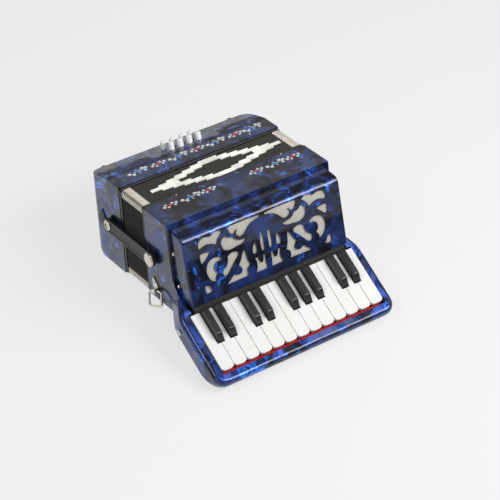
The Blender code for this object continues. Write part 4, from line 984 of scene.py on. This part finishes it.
# Faces in steps of width and rise, in millimetres
BAND_STEPS = ((0.5, 0.3), (2.6, 0), (0.4, -0.7))
SNAP_STEPS = ((2.1, 0), (0.5, -0.8), (1.0, 0), (0.8, 1.4), (1.4, 0.3))
DISC_STEPS = ((3.2, 0), (0.4, -0.5))
STITCH_PITCH = 3.2 * MM
STITCH_LENGTH = 2.2 * MM
STITCH_RADIUS = 0.35 * MM
STITCH_INSET = 1.69 * MM
STITCH_RISE = 0.25 * MM
STITCH_MARGIN = 2 * MM
LEATHER_TONES = ((0.35, (0.01, 0.01, 0.009)), (0.7, (0.024, 0.024, 0.022)))
THREAD_TONES = ((0.2, (0.2, 0.2, 0.19)), (0.8, (0.4, 0.4, 0.37)))
SIDES = (("left", -1), ("right", 1))

leather, tree = new_material("black_leather", (0.012, 0.012, 0.011), 0.42)
pores = texture(tree, "Voronoi", {"Scale": 900.0})
creases = noise(tree, 160.0, 5.0)
show(tree, creases, tones=LEATHER_TONES, gloss=(0.34, 0.55))
show(tree, maths(tree, "MULTIPLY", pores.outputs["Distance"], creases), relief=(0.45, 0.0006))

thread, tree = new_material("waxed_thread", (0.3, 0.3, 0.28), 0.6)
twist = texture(tree, "Wave", {"Scale": 600.0}, bands_direction="DIAGONAL")
show(tree, twist.outputs["Fac"], tones=THREAD_TONES)


def scatter(model, matrices, name):
    """Copies a modelled shape to many places, each with its own mesh, and joins the copies."""
    made = []
    for matrix in matrices:
        piece = bpy.data.objects.new(name, model.data.copy())
        piece.data.transform(matrix)
        bpy.context.scene.collection.objects.link(piece)
        made.append(piece)
    bpy.data.objects.remove(model)
    return join_pieces(made, name)


def sew(starts, ends, name, body):
    """A row of stitches, each a short rounded piece of thread between two points."""
    stitch = add_primitive("stitch", "uv_sphere", segments=6, ring_count=4, radius=1)
    size = (STITCH_LENGTH / 2, STITCH_RADIUS, STITCH_RADIUS)
    turns = [Matrix.LocRotScale((start + end) / 2, (end - start).to_track_quat("X", "Z"), size)
             for start, end in zip(starts, ends)]
    settle(scatter(stitch, turns, name), thread, body, "leather")


def press_cap(name, foot, edge, radius, thick, rounding, segments, steps):
    """A round cap pressed from nickel sheet, its face stepped."""
    axis = Vector((edge, 0, 0))
    cap = start_turned(name, foot, axis, radius, thick, rounding, segments)
    choose_top(cap, axis, foot.dot(axis) + thick)
    step_face(axis, *steps)
    close_mesh()
    return cap


for side_name, edge in SIDES:
    body = f"bellows_strap_{side_name}"
    inner = edge * (BODY_HALF + STRAP_STANDOFF)
    outer = inner + edge * STRAP_THICK
    half = STRAP_WIDTH / 2
    band = start_block((min(inner, outer), STRAP_SNAP_Y - half, STRAP_Z - half),
                       (max(inner, outer), STRAP_SCREW_Y + half, STRAP_Z + half))
    choose(band, "EDGE", lambda p, e: abs(e.verts[0].co.x - e.verts[1].co.x) > MM)
    bpy.ops.mesh.bevel(offset=STRAP_END_ROUND, segments=10)
    choose(band, "FACE", lambda p, f: f.normal.x * edge > 0.9)
    step_face((edge, 0, 0), *BAND_STEPS)
    close_mesh()
    round_edges(band, BAND_ROUND, 50)
    pieces = [band]
    for y in (STRAP_SNAP_Y, STRAP_SCREW_Y):
        foot = (edge * (BODY_HALF + PAD_GAP), y, STRAP_Z)
        pad = start_turned("pad", foot, (edge, 0, 0), PAD_RADIUS, STRAP_STANDOFF - PAD_GAP, sides=40)
        choose(pad, "FACE", lambda p, f: abs(f.normal.x) < 0.5)
        bpy.ops.mesh.subdivide(number_cuts=1)
        choose(pad, "VERT", lambda p, v: abs(abs(p.x) - BODY_HALF - STRAP_STANDOFF / 2) < 0.4 * MM)
        bpy.ops.transform.resize(value=(1, PAD_SWELL, PAD_SWELL), center_override=(0, y, STRAP_Z))
        close_mesh()
        pieces.append(pad)
    settle(join_pieces(pieces, body + "_band"), leather, body, "leather", body)

    first = STRAP_SNAP_Y + SNAP_RADIUS + STITCH_MARGIN
    count = int((STRAP_SCREW_Y - DISC_RADIUS - STITCH_MARGIN - first) / STITCH_PITCH)
    starts = [Vector((outer + edge * STITCH_RISE, first + i * STITCH_PITCH, z))
              for z in (STRAP_Z - half + STITCH_INSET, STRAP_Z + half - STITCH_INSET) for i in range(count)]
    ends = [start + Vector((0, STITCH_LENGTH, 0)) for start in starts]
    sew(starts, ends, body + "_stitches", body)

    foot = Vector((outer + edge * SNAP_RISE, STRAP_SNAP_Y, STRAP_Z))
    node = f"strap_snap_{side_name}"
    snap = press_cap(node + "_cap", foot, edge, SNAP_RADIUS, SNAP_THICK, SNAP_ROUND, 5, SNAP_STEPS)
    settle(snap, nickel, body, "nickel", node)
    foot = Vector((outer - edge * DISC_SINK, STRAP_SCREW_Y, STRAP_Z))
    disc = press_cap(body + "_screw", foot, edge, DISC_RADIUS, DISC_THICK, DISC_ROUND, 4, DISC_STEPS)
    settle(disc, nickel, body, "nickel")

# Hand strap on the bass side: a wide leather strap, padded and bowed out for the back of the hand, held
# at both ends by a nickel plate with two screws.
HAND_STRAP_Z = 62 * MM
HAND_STRAP_WIDTH = 46 * MM
HAND_STRAP_THICK = 3.5 * MM
HAND_STRAP_BOW = 22 * MM
HAND_STRAP_LENGTH = 206 * MM
HAND_STRAP_BLUNTNESS = 0.8
HAND_STRAP_CUTS = 48
HAND_STRAP_ROUND = 0.5 * MM
HAND_STRAP_GAP = 0.3 * MM
HAND_STEPS = ((3.2, 0), (0.5, -0.5), (3, 0.5))
FAR_Y = 194.8 * MM
HAND_PLATE_LENGTH = 13 * MM
SEAM_INSET = 1.8 * MM
SEAM_SINK = 0.05 * MM
SEAM_START = 2 * MM
SEAM_END = 4 * MM
CLOSE_SEWN_FROM = 80 * MM
CLOSE_SHARE = 0.75


def strap_out(x):
    """How far the hand strap stands off the far side at x."""
    share = max(0.0, min(1.0, x / HAND_STRAP_LENGTH + 0.5))
    return HAND_STRAP_GAP + HAND_STRAP_BOW * sin(pi * share) ** HAND_STRAP_BLUNTNESS


half = HAND_STRAP_WIDTH / 2
hand = start_block((-HAND_STRAP_LENGTH / 2, FAR_Y, HAND_STRAP_Z - half),
                   (HAND_STRAP_LENGTH / 2, FAR_Y + HAND_STRAP_THICK, HAND_STRAP_Z + half))
hand.name = "hand_strap_leather"
for i in range(1, HAND_STRAP_CUTS):
    slice_all((HAND_STRAP_LENGTH * (i / HAND_STRAP_CUTS - 0.5), 0, 0), (1, 0, 0))
choose(hand, "FACE", lambda p, f: f.normal.y > 0.9)
step_face(FAR_WAY, *HAND_STEPS)
close_mesh()
for vert in hand.data.vertices:
    vert.co.y += strap_out(vert.co.x)
round_edges(hand, HAND_STRAP_ROUND, 50)
settle(hand, leather, "bass", "leather", "bass_hand_strap")

starts, ends = [], []
for z in (HAND_STRAP_Z - half + SEAM_INSET, HAND_STRAP_Z + half - SEAM_INSET):
    x = -HAND_STRAP_LENGTH / 2 + HAND_PLATE_LENGTH + SEAM_START
    while x < HAND_STRAP_LENGTH / 2 - HAND_PLATE_LENGTH - SEAM_END:
        for row, px in ((starts, x), (ends, x + STITCH_LENGTH)):
            row.append(Vector((px, FAR_Y + HAND_STRAP_THICK + strap_out(px) - SEAM_SINK, z)))
        x += STITCH_PITCH * (CLOSE_SHARE if abs(x) > CLOSE_SEWN_FROM else 1)
sew(starts, ends, "hand_strap_stitches", "bass")

# Shoulder strap brackets and rings: a pressed nickel plate with a pointed top, rolled into an eye at its
# foot and screwed to the end of the casing. A flat rounded ring of thick wire swings in the eye.
BRACKET_ROUND = 0.25 * MM
BRACKET_SCREW_UP = 11.6 * MM
WIRE_SWELL = 0.35 * MM
SCREW_RADIUS = 2.2 * MM
SCREW_HEIGHT = 1.1 * MM
SLOT_WIDTH = 0.6 * MM
SLOT_DEPTH = 0.5 * MM


def build_screw(name, foot, axis, radius, height):
    """A domed screw head with a slot, standing on its foot along an axis."""
    axis = Vector(axis)
    screw = start_turned(name, foot, axis, radius, height, height * 0.8, sides=24)
    close_mesh()
    low = Vector((-radius * 0.8, -SLOT_WIDTH / 2, -SLOT_DEPTH))
    slot = start_block(low, -low)
    close_mesh()
    turn = axis.to_track_quat("Z", "Y").to_matrix().to_4x4()
    slot.matrix_world = Matrix.Translation(Vector(foot) + axis * height) @ turn
    combine(screw, slot, "DIFFERENCE")
    return screw


for side_name, edge in SIDES:
    node = f"strap_bracket_{side_name}"
    plate = copy_of(node, "plate")
    round_edges(plate, BRACKET_ROUND)
    swing = joints[f"strap_ring_{side_name}_swing"]
    eye = unlay @ Vector(swing["pos_m"])
    up = Vector((1, 0, 0)).cross((unlay.to_3x3() @ Vector(swing["axis"])).normalized())
    up = up if up.z > 0 else -up
    tips = [v.co for v in plate.data.vertices if (v.co - eye).dot(up) > BRACKET_SCREW_UP]
    face_x = edge * max(abs(p.x) for p in tips)
    foot = Vector((face_x, eye.y, eye.z)) + up * BRACKET_SCREW_UP
    head = build_screw("head", foot, (edge, 0, 0), SCREW_RADIUS, SCREW_HEIGHT)
    settle(join_pieces([plate, head], node + "_plate"), nickel, "treble", "nickel", node)

    node = f"strap_ring_{side_name}"
    ring = copy_of(node, node + "_wire")
    open_mesh()
    bpy.ops.mesh.tris_convert_to_quads()
    close_mesh()
    modify(ring, "SUBSURF", levels=2, render_levels=2)
    open_mesh()
    bpy.ops.transform.shrink_fatten(value=WIRE_SWELL)
    close_mesh()
    settle(ring, nickel, node, "nickel", node)

# Grille screws: two domed nickel screws hold each end of the grille cover to the casing.
# Their places are in millimetres.
GRILLE_SCREW_RADIUS = 2.9 * MM
GRILLE_SCREW_HEIGHT = 1.8 * MM
GRILLE_SCREWS = ((-5, 92), (-12, 45))

for side_name, edge in SIDES:
    heads = [build_screw("head", (edge * GRILLE_HALF, y * MM, z * MM), (edge, 0, 0), GRILLE_SCREW_RADIUS,
                         GRILLE_SCREW_HEIGHT) for y, z in GRILLE_SCREWS]
    settle(join_pieces(heads, f"grille_screws_{side_name}"), nickel, "treble", "nickel")

# Bellows pins: ball-headed nickel pins, pushed through the edges of both casings into the bellows
# frames, which they hold. Each row gives its body, its Y and the X of its pins, in millimetres.
PIN_HEAD_RADIUS = 1.35 * MM
PIN_HEAD_SHAPE = (1, 1, 0.8)
PIN_STEM_RADIUS = 0.6 * MM
PIN_STAND = 2.2 * MM
PINS = (("treble", 52, (-79.7, 87.7)), ("bass", 122.5, (85,)))

for body, y, places in PINS:
    heads = []
    for x, (z, way) in [(x, end) for x in places for end in ((BODY_DEPTH, 1), (0, -1))]:
        foot = Vector((x * MM, y * MM, z))
        up = Vector((0, 0, way))
        stem = start_turned("stem", foot - up * MM, up, PIN_STEM_RADIUS, PIN_STAND, sides=10)
        close_mesh()
        head = add_primitive("head", "uv_sphere", PIN_HEAD_SHAPE, segments=16,
                             ring_count=10, radius=PIN_HEAD_RADIUS, location=foot + up * PIN_STAND)
        heads += [stem, head]
    settle(join_pieces(heads, f"bellows_pins_{body}"), nickel, body, "nickel")

# Rhinestones: two rows of glued stones on the front, a blue flower and a red flower in turn. Each stone
# is cut glass with a table and slanted facets. The middle of the lower row stays bare.
STONE_RISE = 0.7 * MM
FACETS = 10
# Stones as their place from the flower's middle, length, width and turn, in millimetres and degrees
BLUE_FLOWER = (
    (-13, -0.4, 6.0, 5.6, 5), (-8, -4.3, 5.6, 5.2, 30), (9.0, 4.6, 5.8, 5.2, 20), (14, 3.0, 5.2, 5.0, -30),
    (11, -1.8, 5.0, 4.6, -20),
)
BLUE_PRONGS = (
    (-4.9, -0.6, 5.0, 2.2, 8), (4.9, 0.6, 5.0, 2.2, 8), (-1, 4.6, 4.6, 2.2, 75), (1, -4.6, 4.6, 2.2, 75),
)
BLUE_MIDDLE = ((0, 0, 8, 8, 0),)
RED_FLOWER = (
    (-9.8, -1.2, 5.0, 4.8, 10), (-5.9, 2.8, 4.2, 4.4, 40), (-4.3, -3.4, 4.0, 4.2, -10),
    (4.3, 3.4, 4.2, 4.4, 30), (6.0, -2.8, 4.2, 4.4, -30), (9.8, 1.4, 5.0, 4.8, 20),
)
RED_MIDDLE = ((0, 0, 5.6, 5.6, 0),)
# Rows as their body, Y, and the X of their blue and of their red flowers
STONE_ROWS = (
    ("bass", 137.5, (-86, -22.2, 38.7, 99), (-53.4, 9.1, 71.1)),
    ("treble", 39, (-65.7, 69.0), (-97.1, -38.0, 38.1, 97.7)),
)


def stone_material(name, dark, light):
    """Foil-backed glass, with painted reflections: patches of a dark and a light tone stand for the glints
    of its facets.
    """
    made, tree = new_material(name, light, 0.12, 0.55, Coat_Weight=1.0, Coat_Roughness=0.02)
    # Painted reflection: small cells in the dark and the light tone, standing for the glints of the facets.
    painted_glints = texture(tree, "Voronoi", {"Scale": 900.0})
    show(tree, painted_glints.outputs["Distance"], tones=((0.1, dark), (0.5, light)))
    return made


def cut_stone(sides):
    """A stone of unit radius: a girdle, slanted facets and a flat table."""
    stone = start_turned("stone", (0, 0, 0), (0, 0, 1), 1, 0.35, sides=sides)
    choose(stone, "FACE", lambda p, f: f.normal.z > 0.9)
    bpy.ops.mesh.inset(thickness=0.45)
    bpy.ops.transform.translate(value=(0, 0, 0.65))
    close_mesh()
    return stone


def flowers(y, middles, stones):
    """The place, turn and size of every stone in a row of like flowers."""
    made = []
    for x in middles:
        for dx, dy, length, width, turn in stones:
            place = Vector(((x + dx) * MM, (y + dy) * MM, BODY_DEPTH))
            size = (length / 2 * MM, width / 2 * MM, STONE_RISE)
            made.append(Matrix.LocRotScale(place, Matrix.Rotation(radians(turn), 3, "Z"), size))
    return made


clear_glass = stone_material("clear_rhinestone", (0.75, 0.76, 0.78), (0.95, 0.95, 0.96))
blue_glass = stone_material("blue_rhinestone", (0.01, 0.07, 0.5), (0.05, 0.35, 0.95))
red_glass = stone_material("red_rhinestone", (0.35, 0.0, 0.0), (0.9, 0.03, 0.02))
for body, y, blue, red in STONE_ROWS:
    rows = (
        ("clear", FACETS, flowers(y, blue, BLUE_FLOWER) + flowers(y, red, RED_FLOWER), clear_glass),
        ("prongs", 4, flowers(y, blue, BLUE_PRONGS), clear_glass),
        ("blue", 4, flowers(y, blue, BLUE_MIDDLE), blue_glass),
        ("red", FACETS, flowers(y, red, RED_MIDDLE), red_glass),
    )
    for kind, sides, places, glass in rows:
        stones = scatter(cut_stone(sides), places, f"{body}_rhinestones_{kind}")
        settle(stones, glass, body, "pearl_plastic", angle=5)

# Foot screws: a nickel screw in the well of each rubber foot, which holds it to the far plate.
# Its head stays below the rim, so that it doesn't scratch.
FOOT_SCREW_RADIUS = 2.4 * MM
FOOT_SCREW_HEIGHT = 1.2 * MM

for number in range(1, 5):
    middle, low, high, radius = axis_span(f"rubber_foot_{number}", FAR_WAY)
    foot = middle + FAR_WAY * (high - FOOT_WELL)
    screw = build_screw(f"foot_screw_{number}", foot, FAR_WAY, FOOT_SCREW_RADIUS, FOOT_SCREW_HEIGHT)
    settle(screw, nickel, "bass", "nickel")

# Hand strap plates: a nickel plate with two screws clamps each end of the hand strap. It is bent to
# the rise of the strap.
PLATE_THICK = 1.2 * MM
PLATE_REACH = 2 * MM
PLATE_OVERLAP = 1.5 * MM
PLATE_CORNER = 3 * MM
PLATE_ROUND = 0.3 * MM
PLATE_CUTS = 5
PLATE_SCREW_Z = 14 * MM
PLATE_SCREW_RADIUS = 3 * MM
PLATE_SCREW_HEIGHT = 1.6 * MM

for side_name, edge in SIDES:
    end = edge * (HAND_STRAP_LENGTH / 2 + PLATE_REACH)
    inner = edge * (HAND_STRAP_LENGTH / 2 - HAND_PLATE_LENGTH)
    half = HAND_STRAP_WIDTH / 2 + PLATE_OVERLAP
    plate = start_block((min(end, inner), 0, HAND_STRAP_Z - half),
                        (max(end, inner), PLATE_THICK, HAND_STRAP_Z + half))
    choose(plate, "EDGE", lambda p, e: abs(e.verts[0].co.y - e.verts[1].co.y) > MM)
    bpy.ops.mesh.bevel(offset=PLATE_CORNER, segments=4)
    for i in range(1, PLATE_CUTS):
        slice_all((inner + (end - inner) * i / PLATE_CUTS, 0, 0), (1, 0, 0))
    close_mesh()
    for vert in plate.data.vertices:
        vert.co.y += FAR_Y + HAND_STRAP_THICK + strap_out(vert.co.x) + NEAR
    round_edges(plate, PLATE_ROUND, 50)
    x = (end + inner) / 2
    y = FAR_Y + HAND_STRAP_THICK + strap_out(x) + PLATE_THICK
    heads = [build_screw("head", (x, y, HAND_STRAP_Z + side * PLATE_SCREW_Z), FAR_WAY, PLATE_SCREW_RADIUS,
                         PLATE_SCREW_HEIGHT) for side in (-1, 1)]
    settle(join_pieces([plate] + heads, f"hand_strap_plate_{side_name}"), nickel, "bass", "nickel")

# Leaf tabs: a pointed black tab in the leather material lies on each end of the bass side above the strap.
# Its outline is in millimetres, with its point first.
TAB_OUTLINE = ((166.4, 79), (159.6, 70.5), (163.5, 61.5), (170, 56.3), (173.6, 64.8))
TAB_THICK = 1.6 * MM
TAB_GAP = 0.2 * MM
TAB_ROUND = 0.4 * MM

for side_name, edge in SIDES:
    middle = (edge * (BODY_HALF + TAB_GAP + TAB_THICK / 2), 0, 0)
    tab = cut_sheet("leaf_tab_" + side_name, [(TAB_OUTLINE, (0,))], TAB_THICK, 12, middle,
                    ((0, 1, 0), (0, 0, 1), (1, 0, 0)))
    round_edges(tab, TAB_ROUND)
    settle(tab, leather, "bass", "leather")

# Inside: spruce soundboards with the pallet holes, and beech reed blocks that carry the reeds.
# These CAD nodes keep their shapes.
spruce = wood_material("spruce_board", (0.72, 0.55, 0.33), (0.5, 0.33, 0.17))
beech = wood_material("beech_block", (0.6, 0.4, 0.24), (0.42, 0.26, 0.14))
for part, material in (("soundboard", spruce), ("reed_block", beech)):
    for side_name in ("treble", "bass"):
        slots = nodes[f"{side_name}_{part}"].data.materials
        slots.clear()
        slots.append(material)

low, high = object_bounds()
